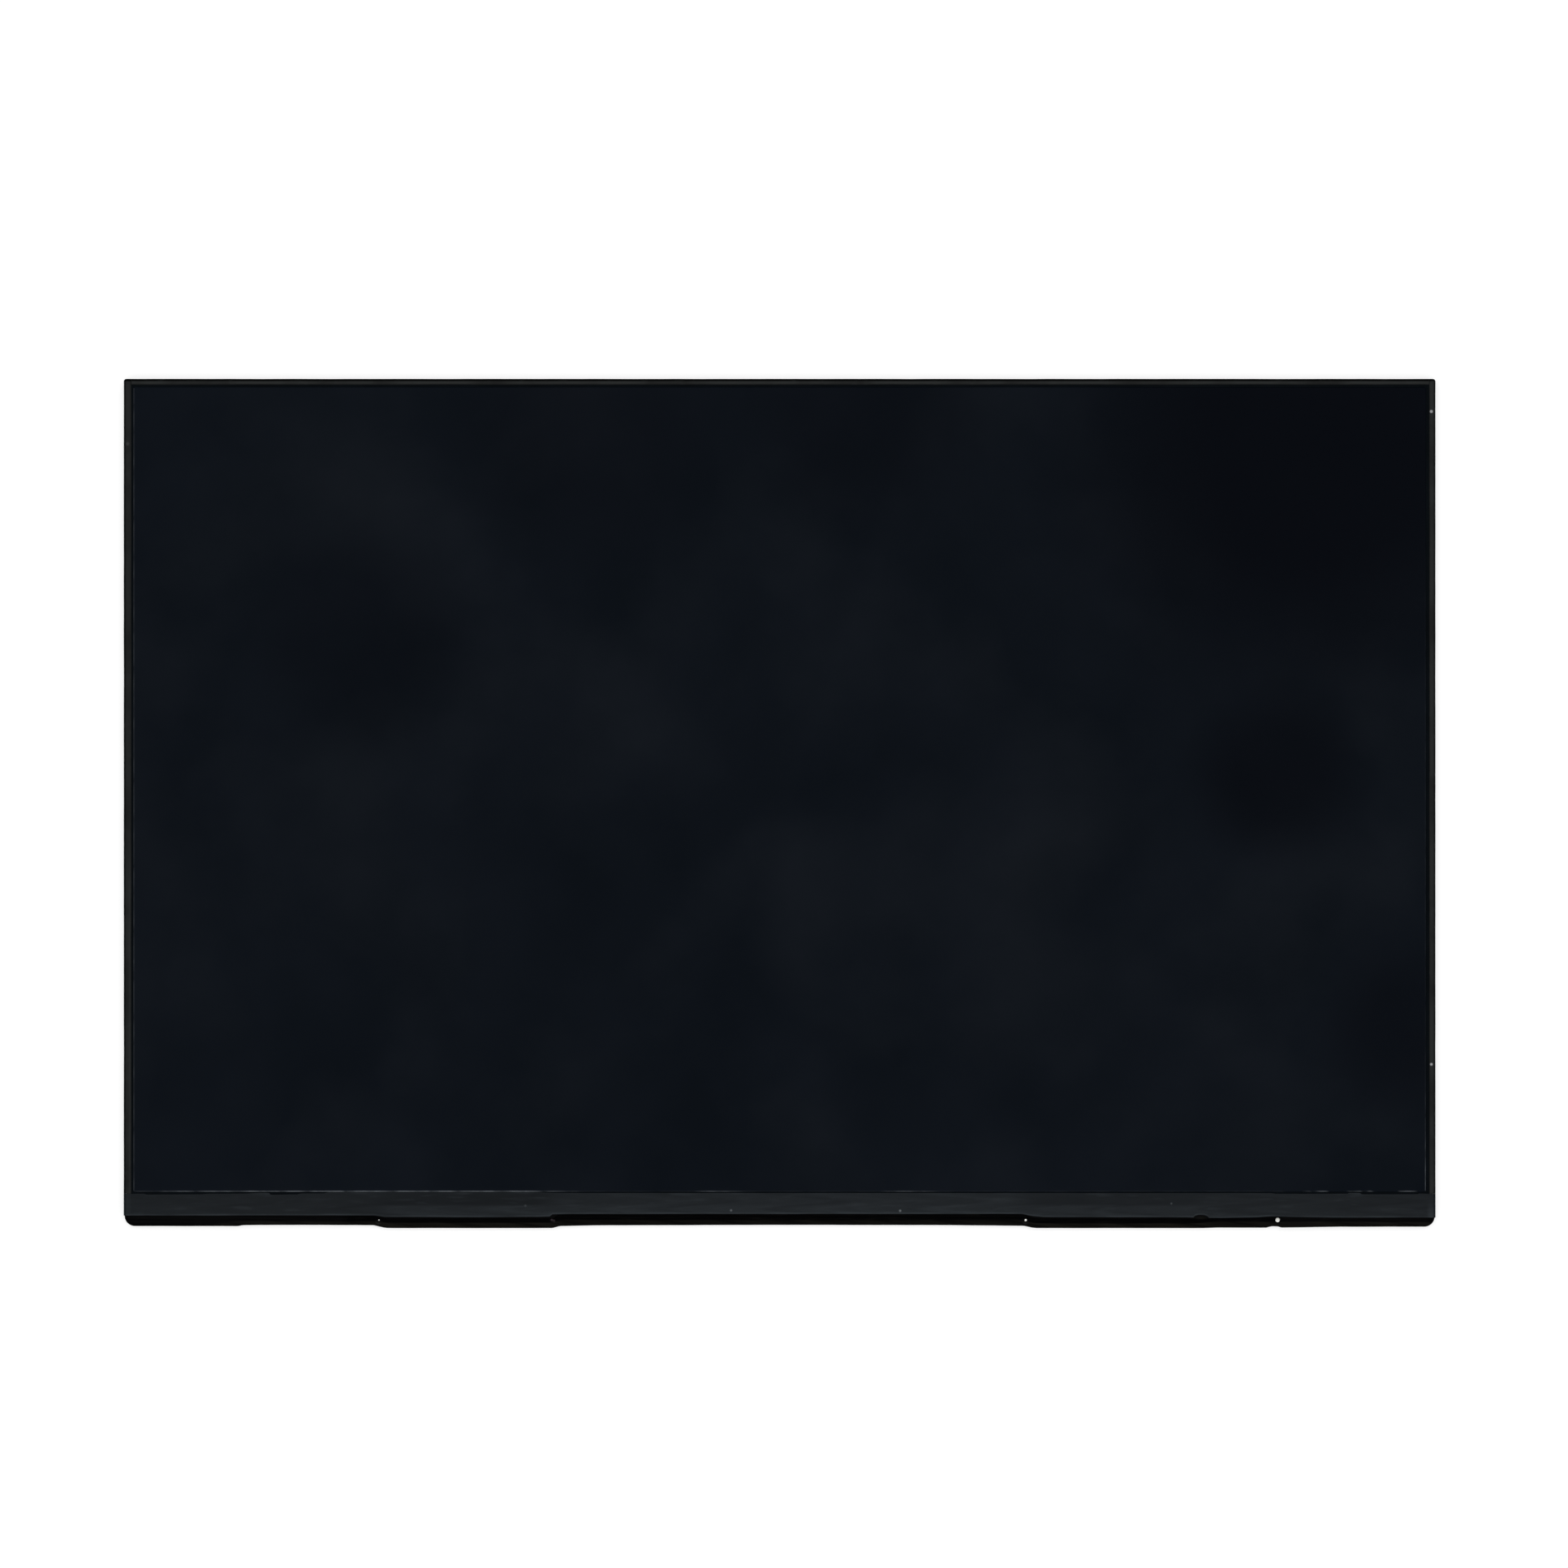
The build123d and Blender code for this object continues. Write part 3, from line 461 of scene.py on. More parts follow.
# Triacetate polariser with an anti-glare hard coat: nearly black with a blue cast, dull and very little
# reflective. Its paler clouds are painted reflection, its large dark spots are painted shade, and its paler
# shade also paints the glint along the cut edge. Its grit, about 0.03 mm, is drawn coarser so that it shows.
SCREEN_COAT = MarkedFinish(
    "anti_glare_polariser", "#050a11", "#0a0f16", 34.0, (0.38, 0.46), 0.4, 0.004,
    # The paler shade paints the cut edge's glint and the reflection clouds; the dark spots are painted shade.
    specular=0.02, wear_and_sheen_shade="#6e7378", cloudy_sheen=0.018, cloudy_sheen_size=42.0, cloudy_sheen_limits=(0.46, 0.82),
    spot="#010309",
    spots=(
        (126.0, 84.0, 75.0, 0.9), (117.0, 7.0, 26.0, 0.7), (146.0, -53.0, 24.0, 0.5),
        (-98.0, 40.0, 34.0, 0.35), (-44.0, 86.0, 40.0, 0.35), (20.0, 96.0, 40.0, 0.4),
    ),
)
# Black polyester tape with a calendered face: satin, painted a soft grey along its middle as its sheen, with
# a painted highlight along the left tape's inner edge and pale specks that are painted glints.
RIM_TAPE = MarkedFinish(
    "satin_polyester_rim_tape", "#050606", "#080909", 5.0, (0.36, 0.48), 0.7, 0.006,
    # The paler shade paints the tape's sheen; the pale spots are painted glints.
    specular=0.065, wear_and_sheen_shade="#1f2121", cloudy_sheen=0.4, cloudy_sheen_size=2.2, spot="#9a9a9c",
    spots=((153.05, 92.1, 0.5, 0.85), (153.05, -61.2, 0.45, 0.9), (-153.1, 84.5, 0.6, 0.05)),
)
# The same tape where it folds over the edge, without its sheen: a darker copy that paints the shade on the
# fold.
RIM_FOLD = replace(RIM_TAPE, name="shaded_polyester_rim_tape", specular=0.0)
# The same polyester in a wider cut: satin with a cool cast, painted paler in patches as its sheen and along
# its lower lip as a highlight, with small pale spots that are painted glints.
BAND_TAPE = MarkedFinish(
    "satin_polyester_ledge_tape", "#060b0f", "#0a0f13", 6.0, (0.36, 0.46), 0.9, 0.005,
    # The paler shade paints the band's sheen and the lip's highlight; the pale spots are painted glints.
    run=Grain.DRAWN_X, specular=0.064, wear_and_sheen_shade="#262b2f", cloudy_sheen=0.4, cloudy_sheen_size=1.3, spot="#5c6064",
    spots=(
        (-11.4, -95.5, 0.4, 0.6), (28.3, -95.6, 0.4, 0.9), (92.0, -93.9, 0.35, 0.3), (-59.7, -94.4, 0.4, 0.2),
    ),
)
# The same tape where its ends curve down, without its sheen: a darker copy that paints the shade there.
BAND_FOLD = replace(BAND_TAPE, name="shaded_polyester_ledge_tape", specular=0.0)
# Black polyester film with a carbon-filled matte coat: swallows nearly all light. Its lower half is painted
# brownish as a reflection of the floor, and pale spots at the tucked crease are painted glints.
NOSE_FILM = MarkedFinish(
    "matte_black_polyester_film", "#010102", "#020202", 12.0, (0.3, 0.42), 0.8, 0.006,
    # The brownish shade paints the floor's reflection; the spots paint glints at the crease.
    run=Grain.DRAWN_X, specular=0.02, wear_and_sheen_shade="#151411", cloudy_sheen=0.25, cloudy_sheen_size=0.8, spot="#3a3236",
    spots=((-53.5, -97.76, 0.4, 0.6), (-53.0, -97.95, 0.4, 0.5)),
)
# Black polyester insulating film, satin, drawn tight over the board.
BOARD_FILM = MarkedFinish(
    "satin_black_insulating_film", "#121213", "#17181a", 8.0, (0.36, 0.5), 0.6, 0.008,
    specular=0.3, wear_and_sheen_shade="#26272a",
)
# Aluminium sheet as rolled: fine lines along the mill's run, a soft sheen.
ROLLED_ALUMINIUM = Finish(
    "rolled_aluminium", "#b7babc", "#acb0b3", 0.9, (0.3, 0.42), 0.35, 0.004, run=Grain.ALONG_X, metallic=1.0
)
# Glass with a printed black border, under a dull primer: shows as a black line in the grooves.
BORDER_GLASS = Finish(
    "black_bordered_glass", "#04070a", "#060a0e", 6.0, (0.5, 0.6), 0.5, 0.002, specular=0.014, ior=1.52
)
# Alkali-free display glass, drawn and polished: clear with a faint green edge.
CLEAR_GLASS = Finish(
    "display_glass", "#dfeae6", "#e6efec", 20.0, (0.02, 0.05), 2.0, 0.0005, ior=1.52, transmission=0.9
)
# Polycarbonate filled white, moulded: even, faintly eggshell.
WHITE_MOULDING = Finish(
    "white_polycarbonate", "#e4e4df", "#dbdbd5", 5.0, (0.4, 0.52), 0.5, 0.01, ior=1.58
)
# Black acrylic foam tape: dull.
BOND_TAPE = Finish("black_bond_tape", "#151515", "#1b1b1b", 3.0, (0.7, 0.85), 0.3, 0.01, specular=0.2)
# Dyed polarising film without a coat: dark and smooth.
REAR_FILM = Finish("rear_polariser_film", "#2a2c2e", "#313335", 30.0, (0.1, 0.16), 1.0, 0.001)
# Polyester with pressed acrylic ridges, drawn coarser than the real 0.05 mm: silky.
RIDGED_FILM = Finish(
    "ridged_prism_film", "#dcdfe3", "#cfd4da", 25.0, (0.2, 0.34), 0.4, 0.01, run=Grain.ALONG_X
)
# Polyester with a bead coat: frosted.
FROSTED_FILM = Finish("frosted_diffuser_film", "#e3e3e0", "#dcdcd9", 25.0, (0.6, 0.72), 0.4, 0.004)
# Cast acrylic with printed dots on its back: clear with a cool edge.
GUIDE_ACRYLIC = Finish(
    "acrylic_light_guide", "#dfe9ee", "#d2e0e7", 30.0, (0.04, 0.1), 1.2, 0.002, ior=1.49, transmission=0.6
)
# Voided white polyester: bright and dull.
WHITE_FILM = Finish("white_reflector_film", "#efefef", "#e8e8e8", 30.0, (0.5, 0.62), 0.5, 0.002)
# Polyimide with copper lines under it: amber, streaked along the lines, glossy.
AMBER_FLEX = Finish(
    "amber_polyimide_flex", "#8a531a", "#6f3d10", 1.2, (0.22, 0.34), 0.5, 0.012, run=Grain.ALONG_Y, ior=1.7
)
# Phosphor in white moulded cups: pale yellow.
LAMP_BODY = Finish("phosphor_lamp", "#efe6b8", "#f1eedd", 1.2, (0.4, 0.5), 0.3, 0.004)
# Bare silicon, ground on its back: dark mirror with fine lines.
SILICON = Finish(
    "ground_silicon", "#3a3c42", "#2f3137", 1.5, (0.15, 0.28), 0.15, 0.002, run=Grain.ALONG_X, metallic=0.6
)
# Glass-epoxy laminate under green solder lacquer: glossy, mottled by the copper below.
LAMINATE = Finish("green_lacquered_laminate", "#0f5a33", "#0b4527", 2.2, (0.2, 0.34), 0.5, 0.01, coat=0.3)
# Transfer-moulded epoxy: matte black with a spark-eroded skin.
EPOXY = Finish("moulded_epoxy", "#1c1c1d", "#232324", 1.5, (0.55, 0.68), 0.15, 0.006)
# Pressed iron powder under lacquer: dark grey, speckled.
IRON_POWDER = Finish("pressed_iron_powder", "#3b3b3d", "#4a4a4c", 0.5, (0.5, 0.65), 0.12, 0.012)
# Fired titanate ceramic with tinned ends: brown, slightly glossy.
TITANATE = Finish("fired_titanate", "#9a7a5a", "#84664a", 0.9, (0.3, 0.42), 0.2, 0.004)
# Alumina with a black glass overcoat.
RESISTOR_GLAZE = Finish("glazed_resistor", "#1f2023", "#2a2b2f", 0.6, (0.2, 0.32), 0.15, 0.003)
# Liquid-crystal polymer, moulded: ivory with flow lines.
IVORY_MOULDING = Finish(
    "ivory_polymer_moulding", "#ddd6c2", "#cfc7b1", 2.0, (0.4, 0.52), 0.25, 0.005, run=Grain.ALONG_X, ior=1.6
)
# Stainless strip, stamped and bent: bright with drawn lines.
STAMPED_STEEL = Finish(
    "stamped_stainless", "#c8c7c3", "#b3b2ae", 1.5, (0.2, 0.34), 0.12, 0.003, run=Grain.ALONG_X, metallic=1.0
)
# Phosphor bronze under hard gold plate.
GOLD_PLATE = Finish("hard_gold_plate", "#e2b866", "#d6a957", 0.8, (0.2, 0.3), 0.1, 0.002, metallic=1.0)

CARRIED_OVER: tuple[tuple[Finish, tuple[str, ...]], ...] = (
    (ROLLED_ALUMINIUM, ("rear_cover",)),
    (BORDER_GLASS, ("colour_filter_glass",)),
    (CLEAR_GLASS, ("tft_glass",)),
    (WHITE_MOULDING, ("mould_frame",)),
    (BOND_TAPE, ("cell_bond_tape", "board_tape")),
    (REAR_FILM, ("rear_polariser",)),
    (RIDGED_FILM, ("upper_prism_sheet", "lower_prism_sheet")),
    (FROSTED_FILM, ("diffuser_sheet",)),
    (GUIDE_ACRYLIC, ("light_guide",)),
    (WHITE_FILM, ("reflector_sheet",)),
    (AMBER_FLEX, ("lamp_board", "driver_film_left", "driver_film_right")),
    (LAMP_BODY, ("lamps",)),
    (SILICON, ("driver_chip_left", "driver_chip_right")),
    (LAMINATE, ("driver_board",)),
    (EPOXY, ("timing_controller", "memory_chip", "power_chip", "lamp_driver_chip")),
    (IRON_POWDER, ("power_inductors",)),
    (TITANATE, ("capacitors",)),
    (RESISTOR_GLAZE, ("resistors",)),
    (IVORY_MOULDING, ("signal_socket_housing", "lamp_socket")),
    (STAMPED_STEEL, ("signal_socket_shell",)),
    (GOLD_PLATE, ("signal_contacts",)),
)


def mount(piece: bpy.types.Object, node: str, slot: str, *finishes: Finish) -> None:
    """Put a new piece in the place of its CAD node and dress it.

    Args:
        piece: The new piece.
        node: The CAD node that it stands for.
        slot: The record's material slot; not used.
        finishes: The piece's finish, and the one of its folded faces where it has any.
    """
    for finish in finishes:
        piece.data.materials.append(finish.material())
    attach(piece, BODY)
    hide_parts(node)
    LOG.info("%s stands for %s, %d faces", piece.name, node, len(piece.data.polygons))


@dataclass
class ScreenSheet:
    """The front polariser: a flat sheet with the rounded bead that its laser cut leaves."""

    corner_radius: float = 0.3
    corner_steps: int = 6
    step: float = 0.8
    bead: Knots = ((0.3, 0.0), (0.2, 0.004), (0.09, 0.018), (0.03, 0.045), (0.0, 0.09), (0.0, 0.135))
    bead_glint: tuple[float, ...] = (0.0, 0.35, 0.8, 0.7, 0.3, 0.1)
    # Brightness along each cut edge, and how it is broken up.
    low_edge_glint: Knots = (
        (-151.6, 0.1), (-146.0, 0.25), (-140.0, 0.6), (-104.0, 1.0), (-60.0, 1.0), (-52.0, 0.3),
        (-44.0, 0.05), (-21.0, 0.05), (-19.0, 0.4), (-10.0, 0.4), (-8.0, 0.05), (24.0, 0.05),
        (25.5, 0.35), (35.0, 0.35), (37.0, 0.05), (118.0, 0.05), (123.0, 0.5), (151.6, 0.6),
    )
    right_edge_glint: Knots = ((-91.1, 0.4), (-84.0, 0.35), (-78.0, 0.12), (-40.0, 0.05), (98.0, 0.03))
    left_glint: float = 0.2
    top_glint: float = 0.0
    glint_soft: float = 1.0
    breaks: Wave = Wave(9.0, 0.5, 3)
    break_level: float = 0.75
    break_limits: Span = (0.15, 1.2)
    dashes: Wave = Wave(11.0, 2.2, 5)
    dashed_from_x: float = 118.0
    facing: float = 0.5

    def outline(self, box: np.ndarray) -> tuple[np.ndarray, np.ndarray]:
        """Go round a rectangle with round corners, counter-clockwise from its lower left.

        Args:
            box: The rectangle's lowest and highest corners.

        Returns:
            Points on the outline, and the outward direction at each.
        """
        low, high = box[0, :2] + self.corner_radius, box[1, :2] - self.corner_radius
        middles = np.array([low, (high[0], low[1]), high, (low[0], high[1])])
        turn = np.linspace(0, np.pi / 2, self.corner_steps)
        points, outward = [], []
        for index, middle in enumerate(middles):
            angle = turn + (index + 2) * np.pi / 2
            normal = np.stack((np.cos(angle), np.sin(angle)), axis=1)
            following = middles[(index + 1) % 4]
            count = round(np.linalg.norm(following - middle) / self.step)
            share = np.linspace(0, 1, count + 1)[1:-1, None]
            run = middle + share * (following - middle)
            points += [middle + self.corner_radius * normal, run + self.corner_radius * normal[-1]]
            outward += [normal, np.tile(normal[-1], (len(run), 1))]
        return np.concatenate(points), np.concatenate(outward)

    def glint(self, points: np.ndarray, outward: np.ndarray) -> np.ndarray:
        """Say how bright the cut edge is: a line of its own along the lower edge, faint elsewhere.

        Args:
            points: Points on the outline.
            outward: The outward direction at each.

        Returns:
            The brightness at each point, from 0 to 1.
        """
        x, y = points.T
        broken = np.clip(self.break_level + self.breaks.at(x + y), *self.break_limits)
        dashes = np.where(x > self.dashed_from_x, np.clip(self.dashes.at(x), 0, 1), 1)
        lower = follow(self.low_edge_glint, x, self.glint_soft) * dashes
        right = follow(self.right_edge_glint, y, self.glint_soft)
        out_x, out_y = outward.T
        sides = np.where(out_x > self.facing, right, self.left_glint)
        sides = np.where(out_y > self.facing, self.top_glint, sides)
        return np.clip(np.where(out_y < -self.facing, lower, sides) * broken, 0, 1)

    def build(self) -> None:
        """Carry the bead's profile round the outline and close both faces."""
        box = node_box("front_polariser")
        points, outward = self.outline(box)
        inset, drop = np.array(self.bead).T
        rings = np.zeros((len(inset), len(points) + 1, 3))
        rings[:, :-1, :2] = points - inset[:, None, None] * outward
        rings[:, :-1, 2] = box[1, 2] - drop[:, None]
        rings[:, -1] = rings[:, 0]
        count = len(points)
        quads = grid_quads(*rings.shape[:2])
        row, column = quads // (count + 1), quads % (count + 1) % count
        quads = (row * count + column).reshape(-1, 4)
        top = np.arange(count)[None]
        base = ((len(inset) - 1) * count + np.arange(count))[None, ::-1]
        # The cut edge's glint is painted into the colour through this mark.
        marks = {"wear_and_sheen": np.outer(self.bead_glint, self.glint(points, outward)).ravel()}
        sheet = write_mesh("screen_sheet", rings[:, :-1].reshape(-1, 3), [quads, top, base], marks)
        mount(sheet, "front_polariser", "screen_film", SCREEN_COAT)


class Border(Enum):
    """The three borders that carry a rim tape."""

    LEFT = "left"
    RIGHT = "right"
    TOP = "top"


@dataclass
class RimTape:
    """A tape from the glass margin round the panel's side to its back."""

    border: Border
    leg_gap: float
    shaded_edge: float
    sheen_and_wear: float
    seed: int
    glint: float = 0.0
    # The tape across, and its ends.
    front_z: float = 3.72
    back_z: float = 1.55
    shoulder: Span = (0.82, 0.6)
    folded_z: float = 3.08
    back_radius: float = 0.35
    back_lap: float = 3.0
    thickness: float = 0.03
    leg_low_y: float = -91.575
    tuck: float = 0.35
    end_clear: float = 0.05
    corner_radius: float = 0.7
    end_fold: float = 0.6
    top_ends: Knots = ((-151.0, 151.0), (-153.3, 153.3), (-152.2, 152.5))
    top_step: float = 0.03
    back_narrow: float = 0.6
    crown: float = 0.012
    wall: tuple[float, ...] = (0.025, 0.3, 0.55, 0.8)
    # Length and height of the waves along its edges and in its painted sheen.
    leg_waver: Span = (46.0, 0.03)
    side_waver: Span = (61.0, 0.03)
    sheen_waver: Span = (38.0, 0.6)
    # Painted sheen of the front leg, and its painted highlight.
    sheen_level: float = 0.8
    sheen_limits: Span = (0.3, 1.0)
    sheen_rise: float = 0.35
    sheen_end: Span = (0.45, 0.75)
    edge_fade: float = 0.15
    glint_width: float = 0.5
    glint_fade: Span = (-20.0, 50.0)
    # Spacing of the grid.
    turn_steps: int = 12
    leg_steps: int = 6
    lap_steps: int = 5
    step: float = 1.6
    fine_step: float = 0.05
    fine_reach: tuple[float, float, float] = (0.8, 1.0, 0.4)
    slack: float = 0.01

    def profile(self, inner: np.ndarray, side: np.ndarray) -> tuple[np.ndarray, np.ndarray]:
        """Cut the tape across: a level leg, a quarter ellipse, the side, a quarter circle, the back lap.

        Args:
            inner: Where the front leg ends, at each place along the tape.
            side: Where the outer face stands, at each place along the tape.

        Returns:
            Distance outwards and height of each point, one row a place.
        """
        inner, side = inner[:, None], side[:, None]
        wide, deep = self.shoulder
        turn = np.linspace(0, np.pi / 2, self.turn_steps)[None]
        leg = np.linspace(0, 1, self.leg_steps + 1)[None, :-1]
        wall = np.array([self.wall])
        lap = np.linspace(0, 1, self.lap_steps + 1)[None, 1:]
        bend_z = self.back_z + self.back_radius
        crown = self.crown * np.sin(np.pi * leg)
        level = np.ones_like(side)
        out = [
            inner + leg * (side - wide - inner),
            side - wide + wide * np.sin(turn),
            side + 0 * wall,
            side - self.back_radius + self.back_radius * np.cos(turn[:, ::2]),
            side - self.back_radius - lap * (self.back_lap - self.back_radius),
        ]
        up = [
            level * (self.front_z + crown),
            level * (self.front_z - deep + deep * np.cos(turn)),
            level * (self.front_z - deep + wall * (bend_z - self.front_z + deep)),
            level * (bend_z - self.back_radius * np.sin(turn[:, ::2])),
            level * self.back_z + 0 * lap,
        ]
        return np.concatenate(out, axis=1), np.concatenate(up, axis=1)

    def spread(self, along: np.ndarray, out: np.ndarray, up: np.ndarray) -> np.ndarray:
        """Fit the top tape between its neighbours: wider down the side than on the front, narrower behind.

        Args:
            along: Places along the top border, from end to end.
            out: Distance outwards of the tape's points.
            up: Height of the tape's points.

        Returns:
            X of each point.
        """
        back, side, front = self.top_ends
        bend_z = self.back_z + self.back_radius
        fold_z = self.front_z - self.shoulder[1]
        narrow_z = bend_z - self.back_narrow * self.back_radius
        heights = (self.back_z, narrow_z, bend_z, fold_z - self.top_step, fold_z)
        left, right = (np.interp(up, heights, ends) for ends in zip(back, back, side, side, front))
        share = ((along - along[0]) / (along[-1] - along[0]))[:, None]
        return left + share * (right - left) + 0 * out

    def round_end(
        self, along: np.ndarray, out: np.ndarray, up: np.ndarray, corner: Span
    ) -> tuple[np.ndarray, np.ndarray]:
        """Round a side tape's upper end: a quarter circle in plan, and a quarter ellipse downwards.

        Args:
            along: Places along the tape.
            out: Distance outwards of the tape's points.
            up: Height of the tape's points.
            corner: The panel's upper corner, as its distance outwards and its Y.

        Returns:
            Distance outwards and height of each point.
        """
        reach, end = corner
        rise = np.clip(along - (end - self.corner_radius), 0, self.corner_radius)
        limit = reach - self.corner_radius + np.sqrt(self.corner_radius**2 - rise**2)
        wide, deep = self.shoulder
        past = np.clip((along - end + wide) / wide, 0, 1)
        fold = (deep - self.end_clear) * (1 - np.sqrt(1 - past**2))
        return np.minimum(out, limit[:, None]), np.minimum(up, self.front_z - fold[:, None])

    def wear_and_sheen(self, along: np.ndarray, off: np.ndarray, inside: np.ndarray) -> np.ndarray:
        """Say how far the front leg is painted paler as its sheen: in soft patches along it, with a painted
        highlight near the inner edge, fading out at both its edges.

        Args:
            along: Places along the tape.
            off: Distance of each point from the leg's inner edge.
            inside: Distance of each point inside the shaded outer edge.

        Returns:
            The painted sheen at each point.
        """
        patches = self.sheen_level + Wave(*self.sheen_waver, self.seed + 2).at(along)
        sheen_and_wear = self.sheen_and_wear * np.clip(patches, *self.sheen_limits)[:, None]
        glint = self.glint * smooth_step(-along, *self.glint_fade)[:, None]
        wear_and_sheen = (sheen_and_wear + glint * (off < self.glint_width)) * smooth_step(off, 0, self.sheen_rise)
        return wear_and_sheen * smooth_step(inside, -self.edge_fade, self.edge_fade)

    def build(self) -> None:
        """Carry the profile along the border, cut it to its neighbours and put it in place."""
        node = f"rim_tape_{self.border.value}"
        low, high = node_box(node)
        top = self.border is Border.TOP
        run, across = (0, 1) if top else (1, 0)
        start, end = low[run] - (0 if top else self.tuck), high[run]
        ends = tuple(zip((start, end, self.leg_low_y), self.fine_reach))
        along = stations(start, end, self.step, ends, self.fine_step)
        reach = np.abs((low[across], high[across])).max()
        inner = node_box("front_polariser")[1, across] + self.leg_gap
        inner = inner + Wave(*self.leg_waver, self.seed).at(along)
        side = reach - np.abs(Wave(*self.side_waver, self.seed + 1).at(along))
        out, up = self.profile(inner, side)
        if top:
            points = np.stack((self.spread(along, out, up), out, up), axis=-1)
        else:
            out, up = self.round_end(along, out, up, (reach, end))
            points = np.stack((out, along[:, None] + 0 * out, up), axis=-1)
        if self.border is Border.LEFT:
            points[..., 0] *= -1
        if self.border is Border.RIGHT:
            points, out, up = points[:, ::-1], out[:, ::-1], up[:, ::-1]
        # Past the shaded outer edge the fold takes the sheenless copy, which paints the shade there.
        inside = reach - self.shaded_edge - out
        wear_and_sheen = self.wear_and_sheen(along, out - inner[:, None], inside) * (up > self.folded_z)
        folded = (inside < 0) & (up > self.folded_z)
        kept = np.ones(np.array(points.shape[:2]) - 1, dtype=bool)
        if not top:
            front = up[0] > self.front_z - self.shoulder[1] - self.slack
            kept[np.ix_(along[1:] < self.leg_low_y + self.slack, front[1:] & front[:-1])] = False
            wear_and_sheen = wear_and_sheen * smooth_step(end - along, *self.sheen_end)[:, None]
            folded |= (along > end - self.end_fold)[:, None]
        film = Film(points, kept, {"wear_and_sheen": wear_and_sheen}, folded[1:, 1:] & folded[:-1, :-1])
        tape = film.build(f"border_tape_{self.border.value}", self.thickness)
        mount(tape, node, "rim_tape", RIM_TAPE, RIM_FOLD)


@dataclass
class LedgeBand:
    """The satin band below the screen, laid over the glass step, with a wider tab over each driver film."""

    top_line: Knots = (
        (-152.2, -91.625), (-151.9, -91.6), (-149.2, -91.6), (-148.8, -91.78), (-142.0, -91.78),
        (-135.6, -91.72), (-134.6, -91.6), (-125.0, -91.55), (-122.0, -91.35), (-119.9, -91.4),
        (-119.5, -91.85), (-113.2, -91.72), (-112.5, -91.52), (-107.0, -91.5), (-106.0, -91.2),
        (-58.0, -91.2), (-53.0, -91.42), (115.5, -91.44), (116.4, -91.6), (133.3, -91.6), (133.9, -91.4),
        (136.2, -91.4), (136.8, -91.75), (149.4, -91.72), (150.4, -91.55), (151.9, -91.6), (152.2, -91.625),
    )
    level: Knots = ((-98.0, 3.68), (-94.425, 3.68), (-93.025, 3.72), (-91.0, 3.72))
    low_line: Knots = (
        (-154.05, -96.75), (-127.0, -96.72), (-95.0, -96.7), (-93.0, -97.06), (-70.0, -97.12),
        (-56.0, -97.02), (-53.75, -96.95), (-53.6, -96.42), (-40.0, -96.36), (57.0, -96.35),
        (59.0, -96.8), (62.0, -97.08), (96.0, -97.16), (104.0, -97.3), (112.0, -97.16),
        (115.6, -96.92), (120.0, -97.06), (128.0, -97.2), (154.05, -97.22),
    )
    notch: tuple[float, float, float] = (99.0, 1.75, 0.68)
    shoulder: Span = (0.7, 0.52)
    thickness: float = 0.05
    # The lower lip: its width, its curl and its painted highlight.
    lip: float = 0.32
    lip_share: float = 0.12
    lip_curl: float = 0.02
    lip_peak: float = 0.7
    lip_spread: float = 0.18
    lip_level: float = 0.55
    lip_highlight_waver: Wave = Wave(27.0, 0.4, 25)
    lip_limits: Span = (0.1, 0.9)
    lip_glint: Span = (15.6, 2.2)
    # How uneven its edges and its face are.
    low_waver: Wave = Wave(34.0, 0.025, 21)
    low_soft: float = 0.3
    top_waver: Wave = Wave(40.0, 0.02, 23)
    top_soft: float = 0.12
    level_soft: float = 0.25
    swell: tuple[float, float, float] = (0.006, 9.0, 1.5)
    pucker: Wave = Wave(21.0, 0.005, 24)
    pucker_slant: float = 3.0
    # Painted sheen of the face above and below the glass step, and at both ends.
    glass_step: Span = (94.0, 94.7)
    sheen_soft: float = 2.0
    patches: Wave = Wave(26.0, 0.4, 26)
    patch_sway: Span = (8.0, 1.7)
    patch_limits: Span = (0.3, 1.7)
    left_end: tuple[float, float, float] = (0.15, 152.1, 152.7)
    right_end: tuple[float, float, float] = (0.5, 151.8, 152.9)
    right_end_y: Span = (93.0, 96.4)
    folded_from: float = 0.4
    # Spacing of the grid.
    tab_end_x: float = -53.7
    lip_steps: int = 7
    face_steps: int = 21
    fine_reach: tuple[float, float, float, float] = (2.2, 1.0, 0.9, 0.5)
    fine_step: float = 0.1
    # Painted sheen above and below the glass step.
    upper_sheen: Knots = (
        (-154.05, 0.12), (-95.0, 0.12), (-90.0, 0.02), (-57.0, 0.02), (-50.0, 0.25), (54.0, 0.3),
        (62.0, 0.08), (96.0, 0.1), (104.0, 0.2), (154.05, 0.15),
    )
    lower_sheen: Knots = (
        (-154.05, 0.14), (-95.0, 0.16), (-90.0, 0.36), (-57.0, 0.36), (-50.0, 0.4), (54.0, 0.42),
        (62.0, 0.34), (96.0, 0.34), (104.0, 0.24), (154.05, 0.2),
    )
    step: float = 1.2

    def low_edge(self, x: np.ndarray) -> np.ndarray:
        """Follow the lower edge: straight runs, a slight waver, and a half-ellipse notch over a lump.

        Args:
            x: Places along the band.

        Returns:
            The lower edge's Y at each place.
        """
        middle, half, depth = self.notch
        bite = depth * np.sqrt(np.clip(1 - ((x - middle) / half) ** 2, 0, None))
        return follow(self.low_line, x, self.low_soft) + self.low_waver.at(x) + bite

